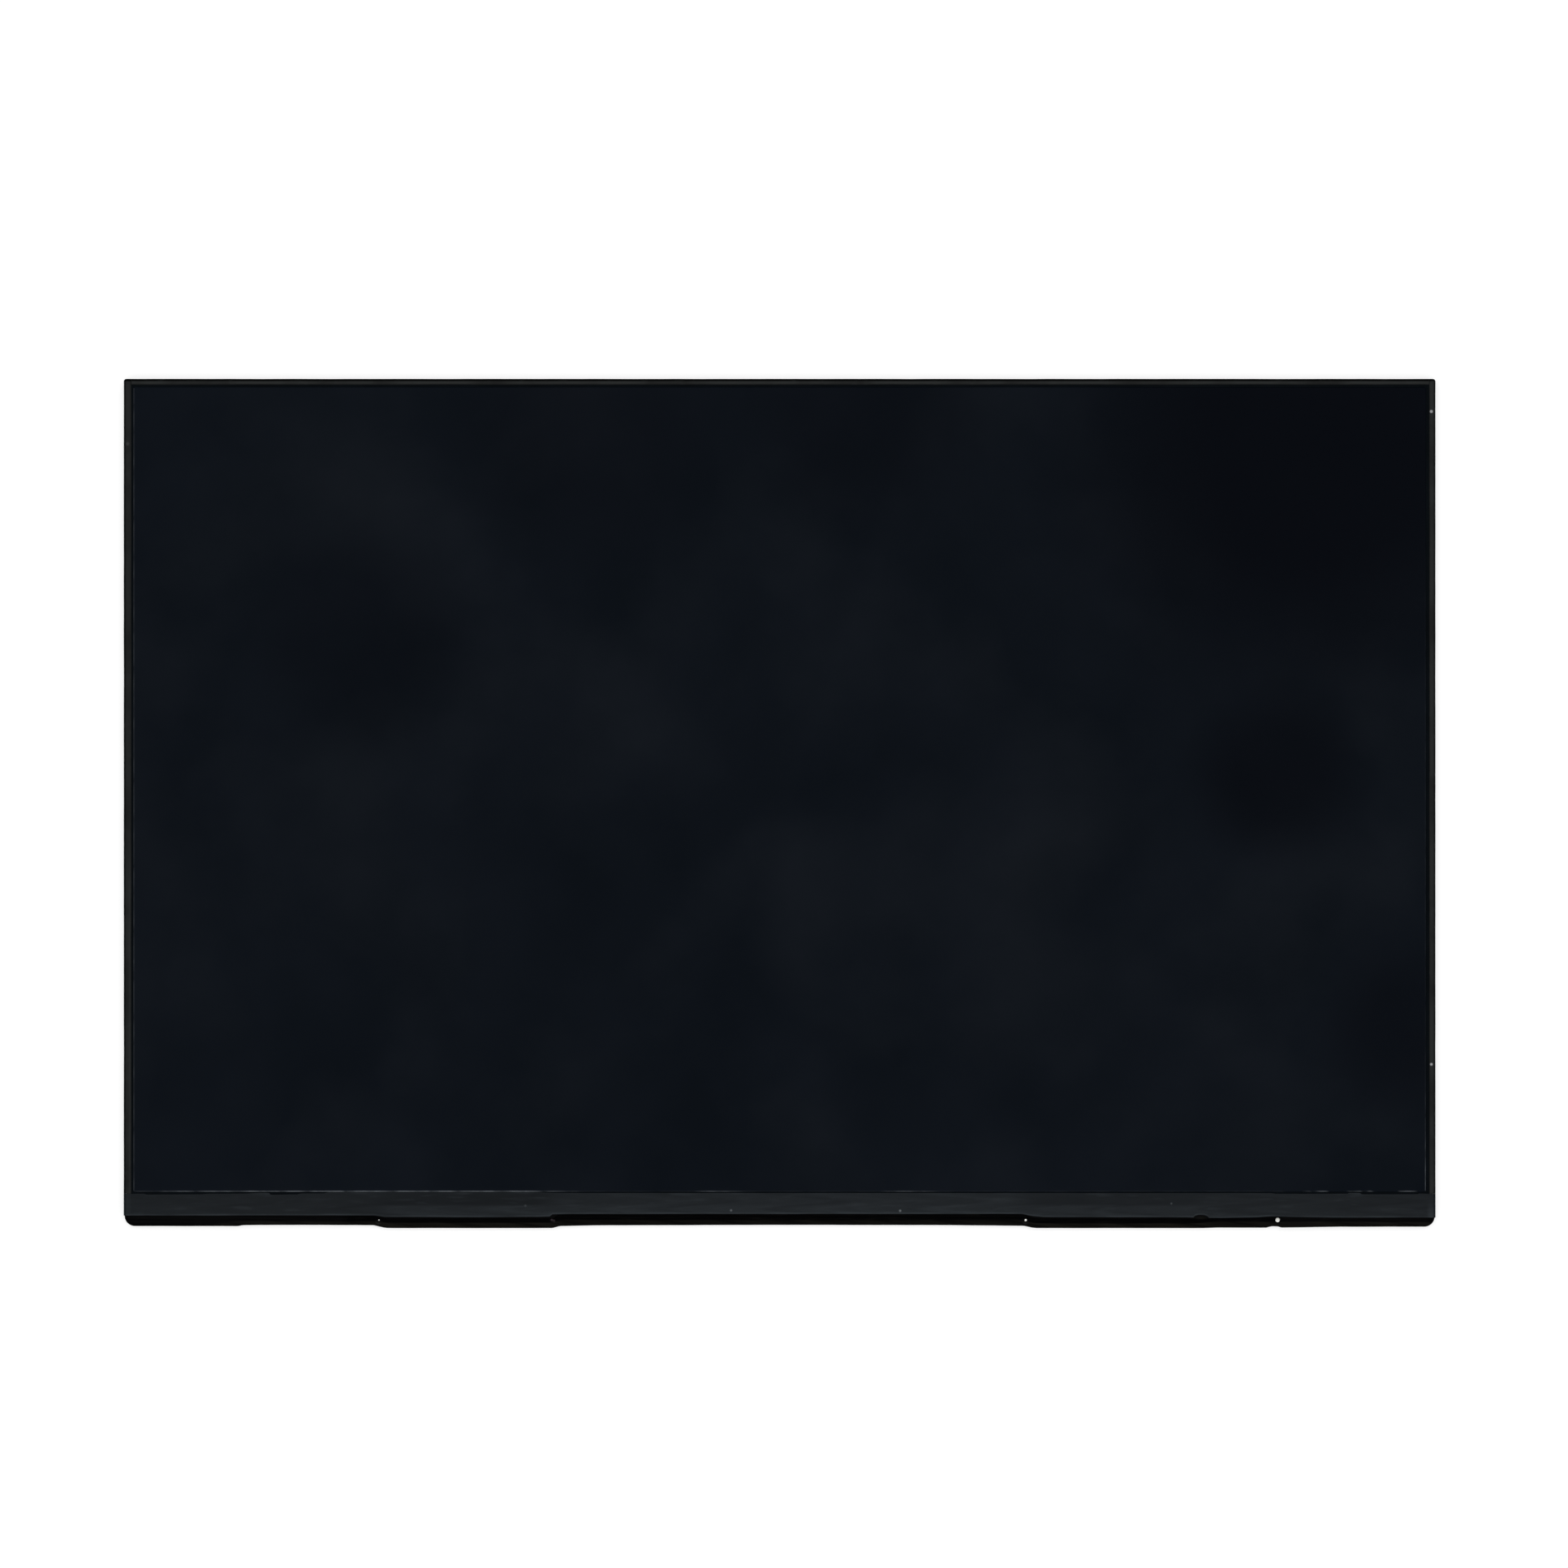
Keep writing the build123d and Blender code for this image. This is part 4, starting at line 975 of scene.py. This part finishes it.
    def wear_and_sheen(self, x: np.ndarray, y: np.ndarray, edge_y: np.ndarray) -> np.ndarray:
        """Say how far the band is painted paler: as sheen, more below the glass step and at its ends, in soft
        patches, and most along the lip as a painted highlight.

        Args:
            x: Places along the band.
            y: Y of each point.
            edge_y: The lower edge's Y at each place.

        Returns:
            The painted paleness at each point, from 0 to 1.
        """
        below = smooth_step(-y, *self.glass_step)
        upper, lower = (follow(line, x, self.sheen_soft) for line in (self.upper_sheen, self.lower_sheen))
        sway, rate = self.patch_sway
        patches = np.clip(1 + self.patches.at(x + sway * np.sin(rate * y)), *self.patch_limits)
        face = (upper * (1 - below) + lower * below) * patches
        lip = np.exp(-(((y - edge_y) / self.lip - self.lip_peak) ** 2) / self.lip_spread)
        glint_x, glint_reach = self.lip_glint
        sheen_and_wear = np.clip(self.lip_level + self.lip_highlight_waver.at(x), *self.lip_limits)
        sheen_and_wear = sheen_and_wear + np.exp(-(((x - glint_x) / glint_reach) ** 2))
        left, right = self.left_end, self.right_end
        ends = right[0] * smooth_step(x, *right[1:]) * smooth_step(-y, *self.right_end_y)
        ends = ends + left[0] * smooth_step(-x, *left[1:])
        return np.clip(face + lip * sheen_and_wear + ends, 0, 1)

    def build(self) -> None:
        """Stretch a grid from the lower edge to the screen, step it at the glass and round its ends."""
        low, high = node_box("front_ledge_tape")
        notch, tab, end, knot = self.fine_reach
        places = [(self.notch[0], notch), (self.tab_end_x, tab), (low[0], end), (high[0], end)]
        places += [(place, knot) for place, _ in self.top_line]
        x = stations(low[0], high[0], self.step, tuple(places), self.fine_step)[:, None]
        lip = np.linspace(0, self.lip_share, self.lip_steps + 1)[:-1]
        share = np.concatenate((lip, np.linspace(self.lip_share, 1, self.face_steps + 1)))[None]
        edge_y = self.low_edge(x[:, 0])[:, None]
        top_y = follow(self.top_line, x, self.top_soft) + self.top_waver.at(x)
        y = edge_y + share * (top_y - edge_y)
        rise, length, slant = self.swell
        z = follow(self.level, y, self.level_soft) + rise * np.sin(x / length + slant * y)
        z = z + self.pucker.at(x + self.pucker_slant * y)
        from_lip = np.clip((y - edge_y) / self.lip, 0, 1)
        z = z - self.lip_curl * (1 - from_lip) ** 2
        wide, deep = self.shoulder
        past = np.clip((np.abs(x) - high[0] + wide) / wide, 0, 1)
        z = z - deep * (1 - np.sqrt(1 - past**2))
        points = np.stack((x + 0 * y, y, z), axis=-1)
        # The curved ends take the sheenless copy, which paints the shade there.
        folded = (past[1:] + past[:-1] > 2 * self.folded_from) & np.ones(y.shape[1] - 1, dtype=bool)
        band = Film(points, None, {"wear_and_sheen": self.wear_and_sheen(x, y, edge_y) * (1 - past)}, folded)
        piece = band.build("ledge_band", self.thickness)
        mount(piece, "front_ledge_tape", "ledge_tape", BAND_TAPE, BAND_FOLD)


@dataclass
class NoseFilm:
    """The black film folded round the lower edge, pushed out over each driver film."""

    front_z: float = 3.575
    start_y: float = -94.425
    end_y: float = -93.475
    side_x: float = 153.92
    fold_radius: float = 1.0
    nose_radius: float = 0.75
    corner_radius: float = 2.4
    thickness: float = 0.05
    fold_setback: float = 0.08
    fold_line: Knots = (
        (-154.05, -96.6), (-94.2, -96.62), (-92.6, -97.275), (-53.2, -97.275), (-51.8, -96.3),
        (57.6, -96.3), (59.4, -97.275), (98.7, -97.275), (100.4, -97.1), (154.05, -97.1),
    )
    nose_line: Knots = (
        (-154.05, -99.25), (-127.2, -99.28), (-126.2, -99.06), (-112.0, -99.0), (-95.4, -99.1),
        (-93.6, -99.55), (-92.3, -99.775), (-53.4, -99.775), (-51.6, -99.3), (-44.0, -99.14),
        (0.0, -99.02), (40.0, -99.08), (57.4, -99.25), (59.8, -99.775), (99.4, -99.775),
        (103.0, -99.68), (114.9, -99.68), (115.4, -99.36), (117.2, -99.36), (117.8, -99.62),
        (124.0, -99.56), (132.0, -99.42), (154.05, -99.42),
    )
    back_line: Knots = (
        (-154.05, 1.45), (-102.5, 1.45), (-100.5, 0.84), (115.45, 0.84), (117.45, 1.45), (154.05, 1.45),
    )
    # Place, height and hole radius of the pegs.
    peg_y: float = -97.825
    peg_top_z: float = 2.8
    pegs: Knots = ((-94.1, 0.17), (57.8, 0.28), (117.0, 0.6))
    # Where the film's lower half is painted pale as a reflection of the floor, and how far.
    pale_from: Knots = (
        (-154.05, -98.9), (-133.0, -98.6), (-128.0, -97.9), (-95.0, -97.9), (-92.0, -98.3), (-54.0, -98.25),
        (-51.0, -97.6), (57.0, -97.7), (60.0, -98.4), (98.0, -98.4), (102.0, -98.0), (154.05, -98.1),
    )
    pale: Knots = (
        (-154.05, 0.1), (-133.0, 0.2), (-128.0, 0.6), (-95.0, 0.55), (-92.0, 1.0), (-54.0, 1.0),
        (-51.0, 0.5), (57.0, 0.6), (60.0, 1.0), (98.0, 1.0), (102.0, 0.7), (154.05, 0.6),
    )
    pale_soft: float = 1.0
    reflection_streaks: Wave = Wave(13.0, 0.5, 34)
    rub_slant: float = 6.0
    sheen_level: float = 0.8
    sheen_limits: Span = (0.3, 1.1)
    reflection_fade: float = 0.4
    # Creases of the sloping face: long streaks, puckers, a tucked fold and a lump.
    face_from: Span = (1.6, 2.2)
    face_to: Span = (3.4, 3.56)
    streak_rate: Span = (0.05, 7.0)
    streak_sway: Wave = Wave(37.0, 1.4, 32)
    streak_depth: Wave = Wave(29.0, 0.6, 33)
    streak_level: float = 0.6
    streak_height: float = 0.018
    pucker: Wave = Wave(23.0, 0.012, 31)
    pucker_slant: float = 2.0
    tuck: Span = (-52.9, -98.25)
    tuck_reach: Span = (1.1, 0.16)
    tuck_slant: float = 0.35
    tuck_height: float = 0.13
    lump: Span = (99.0, -97.1)
    lump_reach: Span = (1.3, 0.6)
    lump_height: float = 0.05
    # The painted highlight on the lump.
    lump_highlight_middle: Span = (99.0, -97.35)
    lump_highlight_reach: Span = (1.2, 0.35)
    lump_highlight: float = 0.4
    # The tent over a small peg.
    front_from_z: float = 2.0
    front_slope: float = 0.6
    peg_cover: float = 0.13
    peg_tent: Span = (0.55, 1.1)
    tented_below: float = 0.5
    # Rounding of the corners and of the lines above.
    least_squeeze: float = 0.02
    drop_from: Span = (1.5, 3.5)
    band_soft: float = 0.8
    fold_soft: float = 0.4
    nose_soft: float = 0.35
    back_soft: float = 0.5
    # Spacing of the grid.
    bend_steps: int = 9
    slope_steps: int = 30
    nose_steps: int = 16
    level_steps: int = 7
    step: float = 1.1
    fine_step: float = 0.11
    peg_fine: float = 1.3
    corner_fine: float = 2.6
    fine_places: Knots = ((-53.0, 2.2), (99.0, 1.6), (-126.7, 1.0))

    def section(self, x: np.ndarray, fold: np.ndarray) -> np.ndarray:
        """Cut the film across at each place: level back, round nose, straight slope, round fold, level front.

        The slope is the straight line that touches both the fold's circle and the nose's circle.

        Args:
            x: Places along the edge.
            fold: Where the front would turn down without its fold's radius.

        Returns:
            Y and Z of each point, from the back's end to the front's start, one row a place.
        """
        turn, back = fold[:, None], follow(self.back_line, x, self.back_soft)[:, None]
        middle_y = follow(self.nose_line, x, self.nose_soft)[:, None] + self.nose_radius
        middle_z = back + self.nose_radius
        reach = np.hypot(turn - middle_y, self.front_z - middle_z)
        slope = np.arctan2(self.front_z - middle_z, turn - middle_y) - np.arcsin(self.nose_radius / reach)
        fold_y = turn + self.fold_radius * np.tan(slope / 2)
        fold_z = self.front_z - self.fold_radius
        bend = slope * np.linspace(0, 1, self.bend_steps)[None]
        nose = slope + (np.pi - slope) * np.linspace(0, 1, self.nose_steps)[None]
        run = np.linspace(0, 1, self.slope_steps)[None, 1:-1]
        level = np.linspace(0, 1, self.level_steps)[None]
        bend_y = fold_y - self.fold_radius * np.sin(bend)
        bend_z = fold_z + self.fold_radius * np.cos(bend)
        nose_y = middle_y - self.nose_radius * np.sin(nose)
        nose_z = middle_z + self.nose_radius * np.cos(nose)
        y = [
            self.start_y + level[:, :-1] * (fold_y - self.start_y),
            bend_y,
            bend_y[:, -1:] + run * (nose_y[:, :1] - bend_y[:, -1:]),
            nose_y,
            middle_y + level[:, 1:] * (self.end_y - middle_y),
        ]
        z = [
            self.front_z + 0 * level[:, :-1] + 0 * turn,
            bend_z,
            bend_z[:, -1:] + run * (nose_z[:, :1] - bend_z[:, -1:]),
            nose_z,
            back + 0 * level[:, 1:],
        ]
        return np.stack((np.concatenate(y, axis=1), np.concatenate(z, axis=1)), axis=-1)[:, ::-1]

    def crumple(self, points: np.ndarray) -> np.ndarray:
        """Say how far the film stands off its even shape: puckers, long creases, a tucked fold and a lump.

        Args:
            points: The even outer face.

        Returns:
            A height at each point, outwards.
        """
        x, y, z = np.moveaxis(points, -1, 0)
        face = smooth_step(z, *self.face_from) * (1 - smooth_step(z, *self.face_to))
        along, across = self.streak_rate
        streak = np.sin(across * y + along * x + self.streak_sway.at(x))
        streak = streak * (self.streak_level + self.streak_depth.at(x))
        height = self.pucker.at(x + self.pucker_slant * y) + self.streak_height * streak * face
        slanted = y + self.tuck_slant * (x - self.tuck[0])
        height = height + self.tuck_height * bell(x, slanted, self.tuck, self.tuck_reach) * face
        return height + self.lump_height * bell(x, y, self.lump, self.lump_reach) * face

    def wear_and_sheen(self, x: np.ndarray, y: np.ndarray) -> np.ndarray:
        """Say how pale the film is painted: its lower half in streaks, as a reflection of the floor, and the
        lump as a painted highlight.

        Args:
            x: Places along the edge.
            y: Y of each point.

        Returns:
            The painted paleness at each point, from 0 to 1.
        """
        sheen_and_wear = follow(self.pale, x, self.pale_soft)
        sheen_and_wear = sheen_and_wear * smooth_step(follow(self.pale_from, x, self.pale_soft) - y, 0, self.reflection_fade)
        streaks = self.sheen_level + self.reflection_streaks.at(x + self.rub_slant * y)
        sheen_and_wear = sheen_and_wear * np.clip(streaks, *self.sheen_limits)
        return sheen_and_wear + self.lump_highlight * bell(x, y, self.lump_highlight_middle, self.lump_highlight_reach)

    def pierce(self, points: np.ndarray, kept: np.ndarray) -> None:
        """Tent the film over the small pegs and open a round hole over each peg.

        The quads inside a hole are dropped, and the rest are drawn to its edge.

        Args:
            points: The outer face, changed in place.
            kept: Which quads are kept, changed in place.
        """
        for peg_x, radius in self.pegs:
            off = points[..., :2] - (peg_x, self.peg_y)
            away = np.hypot(*np.moveaxis(off, -1, 0))
            upper = points[..., 2] > self.front_from_z
            cover = np.clip(self.peg_top_z + self.peg_cover - points[..., 2], 0, None)
            lift = cover * (1 - smooth_step(away, *self.peg_tent))
            points[..., 2] += np.where(upper & (radius < self.tented_below), lift, 0)
            middle = (away[:-1, :-1] + away[1:, 1:] + away[1:, :-1] + away[:-1, 1:]) / 4
            cut = (middle < radius) & upper[:-1, :-1]
            kept &= ~cut
            touch, stay = np.zeros(away.shape, dtype=bool), np.zeros(away.shape, dtype=bool)
            for rows in (slice(0, -1), slice(1, None)):
                for columns in (slice(0, -1), slice(1, None)):
                    touch[rows, columns] |= cut
                    stay[rows, columns] |= ~cut
            rim = touch & stay & upper
            drawn = off[rim] * (radius / np.maximum(away[rim], TINY))[:, None]
            points[rim, 2] += self.front_slope * (drawn[:, 1] - off[rim][:, 1])
            points[rim, :2] = drawn + (peg_x, self.peg_y)

    def build(self, band: LedgeBand) -> None:
        """Carry the section along the edge, round its corners, crumple it and open the peg holes.

        Args:
            band: The band whose lower edge the film folds under.
        """
        places = [(peg_x, self.peg_fine) for peg_x, _ in self.pegs]
        places += [(end * self.side_x, self.corner_fine) for end in (-1, 1)]
        x = stations(-self.side_x, self.side_x, self.step, (*places, *self.fine_places), self.fine_step)
        under_band = follow(band.low_line, x, self.band_soft) + self.fold_setback
        fold = np.minimum(under_band, follow(self.fold_line, x, self.fold_soft))
        section = self.section(x, fold)
        y, z = section[..., 0], section[..., 1]
        past = np.clip((np.abs(x) - self.side_x + self.corner_radius) / self.corner_radius, 0, 1)
        nose = y.min(axis=1)
        corner = nose + self.corner_radius * (1 - np.sqrt(1 - past**2))
        squeeze = np.clip((fold - corner) / (fold - nose), self.least_squeeze, 1)[:, None]
        y = np.where(y < fold[:, None], fold[:, None] - (fold[:, None] - y) * squeeze, y)
        wide, deep = band.shoulder
        drop = deep * (1 - np.sqrt(1 - np.clip((np.abs(x) - self.side_x + wide) / wide, 0, 1) ** 2))
        z = z - drop[:, None] * smooth_step(z, *self.drop_from)
        film = Film(np.stack((x[:, None] + 0 * y, y, z), axis=-1))
        film.points = film.points + self.crumple(film.points)[..., None] * film.normals()
        film.points[..., 1] = np.maximum(film.points[..., 1], CAD_BOX[0][1] / MM)
        film.kept = np.ones(np.array(film.points.shape[:2]) - 1, dtype=bool)
        self.pierce(film.points, film.kept)
        film.marks["wear_and_sheen"] = self.wear_and_sheen(x[:, None], film.points[..., 1])
        mount(film.build("nose_film", self.thickness), "edge_wrap_tape", "wrap_film", NOSE_FILM)


@dataclass
class BoardFilm:
    """The insulating film drawn over the driver board's parts, stuck to the rear cover and the nose film."""

    flat: tuple[float, float, float, float] = (-101.2, 116.15, -93.175, -81.775)
    flange_z: float = 1.55
    lap_z: float = 0.74
    lap_from_y: float = -93.475
    slack_z: float = 0.42
    pull: float = 0.055
    bridge: float = 0.6
    clear: float = 0.02
    window: tuple[float, float, float] = (-33.65, -10.35, -89.475)
    thickness: float = 0.05
    # The fall to the flange, and the ramps at both ends of the lap.
    fold_reach: float = 1.5
    crease: float = 0.5
    left_ramp: Span = (100.5, 102.5)
    right_ramp: Span = (115.45, 117.45)
    ramp_clear: float = 0.2
    # Puckers of the raised face, and wear of the places that stand out most.
    pucker: Wave = Wave(19.0, 0.018, 41)
    pucker_slant: float = 1.7
    pucker_to: Span = (0.6, 1.3)
    sheen_and_wear: float = 0.6
    worn_z: float = 0.12
    softening: tuple[int, ...] = (1, 3, 5, 3, 1)
    looks_down: float = -0.9
    step: float = 0.6
    fine_step: float = 0.3
    props: tuple[str, ...] = (
        "timing_controller", "memory_chip", "power_chip", "lamp_driver_chip", "power_inductors",
        "capacitors", "resistors", "lamp_socket", "signal_socket_shell",
    )

    def supports(self) -> np.ndarray:
        """List what holds the film up: every facet of the board's parts that looks at it.

        Returns:
            The plan rectangle and the height of each facet, one a row.
        """
        held = []
        for name in self.props:
            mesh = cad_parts[name].data
            mesh.calc_loop_triangles()
            places = np.zeros((len(mesh.vertices), 3), dtype=np.float32)
            corners = np.zeros((len(mesh.loop_triangles), 3), dtype=np.int32)
            facing = np.zeros((len(mesh.loop_triangles), 3), dtype=np.float32)
            mesh.vertices.foreach_get("co", places.ravel())
            mesh.loop_triangles.foreach_get("vertices", corners.ravel())
            mesh.loop_triangles.foreach_get("normal", facing.ravel())
            facets = places[corners[facing[:, 2] < self.looks_down]] / MM
            held.append(np.concatenate((facets.min(axis=1)[:, :2], facets.max(axis=1)), axis=1))
        return np.concatenate(held)

    def drape(self, x: np.ndarray, y: np.ndarray) -> np.ndarray:
        """Hang the film on its supports: it lies on each, sags slowly away from them and is softened.

        Args:
            x: X of each point.
            y: Y of each point.

        Returns:
            The height of the film's outer face.
        """
        height, limit = np.full((2, *x.shape), self.slack_z)
        for left, low, right, high, top in self.supports():
            off_x = np.maximum(np.maximum(left - x, x - right), 0)
            off_y = np.maximum(np.maximum(low - y, y - high), 0)
            away = np.hypot(off_x, off_y)
            rest = top - self.thickness - self.clear
            height = np.minimum(height, rest + self.pull * np.clip(away - self.bridge, 0, None))
            limit = np.where(away < self.step, np.minimum(limit, rest), limit)
        kernel = np.array(self.softening) / sum(self.softening)
        half = len(kernel) // 2
        shifts = range(-half, half + 1)
        soft = np.pad(height, half, mode="edge")
        for axis in (0, 1):
            soft = sum(share * np.roll(soft, shift, axis) for share, shift in zip(kernel, shifts))
        return np.minimum(soft[half:-half, half:-half], limit)

    def build(self) -> None:
        """Lay a grid over the board, drape it down to its flange and cut the socket's window."""
        low, high = node_box("board_cover_film")
        left, right, bottom, top = self.flat
        window_left, window_right, window_low = self.window
        reach = self.fold_reach
        x = stations(low[0], high[0], self.step, ((left, reach), (right, reach)), self.fine_step)
        y = stations(low[1], high[1], self.step, ((bottom, reach), (top, reach)), self.fine_step)
        for places, line in ((x, window_left), (x, window_right), (y, window_low)):
            places[np.abs(places - line).argmin()] = line
        x, y = np.meshgrid(x, y[::-1], indexing="ij")
        out_x = np.maximum(np.maximum(left - x, x - right), 0)
        out_y = np.maximum(np.maximum(bottom - y, y - top), 0)
        raised = self.drape(x, y) + np.hypot(out_x, out_y)
        ends = smooth_step(-x, *self.left_ramp) + smooth_step(x, *self.right_ramp)
        lap = self.lap_z + ends * (self.flange_z - self.ramp_clear - self.lap_z)
        z = soft_min(raised, np.where(y < self.lap_from_y, lap, self.flange_z), self.crease)
        pucker = self.pucker.at(x + self.pucker_slant * y) * (1 - smooth_step(z, *self.pucker_to))
        z = np.maximum(z + pucker, 0)
        points = np.stack((x, y, z), axis=-1)
        middle_x, middle_y, _ = np.moveaxis((points[:-1, :-1] + points[1:, 1:]) / 2, -1, 0)
        in_window = (middle_x > window_left) & (middle_x < window_right) & (middle_y > window_low)
        beside = (middle_y < bottom) & ((middle_x < left) | (middle_x > right))
        wear_and_sheen = self.sheen_and_wear * (1 - smooth_step(z, 0, self.worn_z))
        film = Film(points, ~in_window & ~beside, {"wear_and_sheen": wear_and_sheen})
        mount(film.build("board_film", self.thickness), "board_cover_film", "cover_film", BOARD_FILM)


@dataclass
class Studio:
    """A white floor under a soft overhead dome, and a camera straight above the panel."""

    frame_width: float = 368.2
    aim: Span = (1.03, 4.62)
    front_z: float = 3.72
    lens: float = 200.0
    sensor: float = 36.0
    floor_size: float = 40.0
    floor_z: float = -0.05
    floor_shade: str = "#bcbcbc"
    floor_lift: float = 0.58
    horizon_light: float = 0.06
    zenith_light: float = 1.8
    dome: Span = (0.4, 0.92)
    far_clip: float = 100.0

    def light(self) -> None:
        """Light the panel by the world alone: bright overhead and below, dim at the horizon."""
        world = bpy.data.worlds.new("soft_dome")
        tree = blank_tree(world)
        way = add_node(tree, "ShaderNodeTexCoord").outputs["Generated"]
        rise = add_node(tree, "ShaderNodeSeparateXYZ", {0: way}).outputs["Z"]
        steep = add_node(tree, "ShaderNodeMath", {0: rise}, operation="ABSOLUTE").outputs[0]
        level = add_node(
            tree,
            "ShaderNodeMapRange",
            {
                "Value": steep, "From Min": self.dome[0], "From Max": self.dome[1],
                "To Min": self.horizon_light, "To Max": self.zenith_light,
            },
            interpolation_type="SMOOTHSTEP",
        ).outputs[0]
        glow = add_node(tree, "ShaderNodeBackground", {"Color": (1.0, 1.0, 1.0, 1.0), "Strength": level})
        add_node(tree, "ShaderNodeOutputWorld", {"Surface": glow.outputs[0]})
        bpy.context.scene.world = world

    def floor(self) -> None:
        """Lay a white floor that takes the panel's shadow and, from below, lets the panel's back be seen."""
        corners = np.array([(-1, -1), (1, -1), (1, 1), (-1, 1)]) * self.floor_size / MM / 2
        points = np.column_stack((corners, np.full(len(corners), self.floor_z)))
        floor = write_mesh("floor", points, [np.arange(len(points))[None]], {})
        made = bpy.data.materials.new("white_paper_floor")
        tree = blank_tree(made)
        paper = add_node(tree, "ShaderNodeBsdfDiffuse", {"Color": to_linear(self.floor_shade)})
        ray = add_node(tree, "ShaderNodeLightPath").outputs
        seen = ray["Is Camera Ray"]
        for kind in ("Is Glossy Ray", "Is Transmission Ray"):
            seen = add_node(tree, "ShaderNodeMath", {0: seen, 1: ray[kind]}, operation="MAXIMUM").outputs[0]
        lift = add_node(tree, "ShaderNodeMath", {0: seen, 1: self.floor_lift}, operation="MULTIPLY")
        glow = add_node(tree, "ShaderNodeEmission", {"Strength": lift.outputs[0]})
        white = add_node(tree, "ShaderNodeAddShader", {0: paper.outputs[0], 1: glow.outputs[0]})
        below = add_node(tree, "ShaderNodeNewGeometry").outputs["Backfacing"]
        clear = add_node(tree, "ShaderNodeBsdfTransparent")
        either = add_node(
            tree, "ShaderNodeMixShader", {0: below, 1: white.outputs[0], 2: clear.outputs[0]}
        )
        add_node(tree, "ShaderNodeOutputMaterial", {"Surface": either.outputs[0]})
        floor.data.materials.append(made)
        floor.visible_shadow = False
        floor.visible_diffuse = False

    def camera(self) -> None:
        """Hang the camera so that the frame's width at the panel's front is the photograph's."""
        data = bpy.data.cameras.new("overhead")
        data.lens = self.lens
        data.sensor_width = self.sensor
        data.clip_end = self.far_clip
        camera = bpy.data.objects.new("overhead", data)
        rise = self.frame_width * self.lens / self.sensor + self.front_z
        camera.location = (self.aim[0] * MM, self.aim[1] * MM, rise * MM)
        bpy.context.scene.collection.objects.link(camera)
        bpy.context.scene.camera = camera
        bpy.context.scene.view_settings.view_transform = "Standard"


def dress_carried_over() -> None:
    """Give each CAD node that stays in view its own finish."""
    for finish, names in CARRIED_OVER:
        for name in names:
            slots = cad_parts[name].data.materials
            slots.clear()
            slots.append(finish.material())
            LOG.info("%s is dressed as %s", name, finish.name)


def main() -> None:
    """Build the studio and the panel's pieces in order."""
    logging.basicConfig(level=logging.INFO, format="%(name)s: %(message)s")
    studio = Studio()
    studio.camera()
    studio.light()
    studio.floor()
    dress_carried_over()
    ScreenSheet().build()
    RimTape(Border.LEFT, leg_gap=0.5, shaded_edge=0.42, sheen_and_wear=0.6, seed=11, glint=0.5).build()
    RimTape(Border.RIGHT, leg_gap=0.8, shaded_edge=0.38, sheen_and_wear=0.9, seed=13).build()
    RimTape(Border.TOP, leg_gap=0.62, shaded_edge=0.58, sheen_and_wear=1.0, seed=17).build()
    band = LedgeBand()
    band.build()
    NoseFilm().build(band)
    BoardFilm().build()


if __name__ == "__main__":
    main()
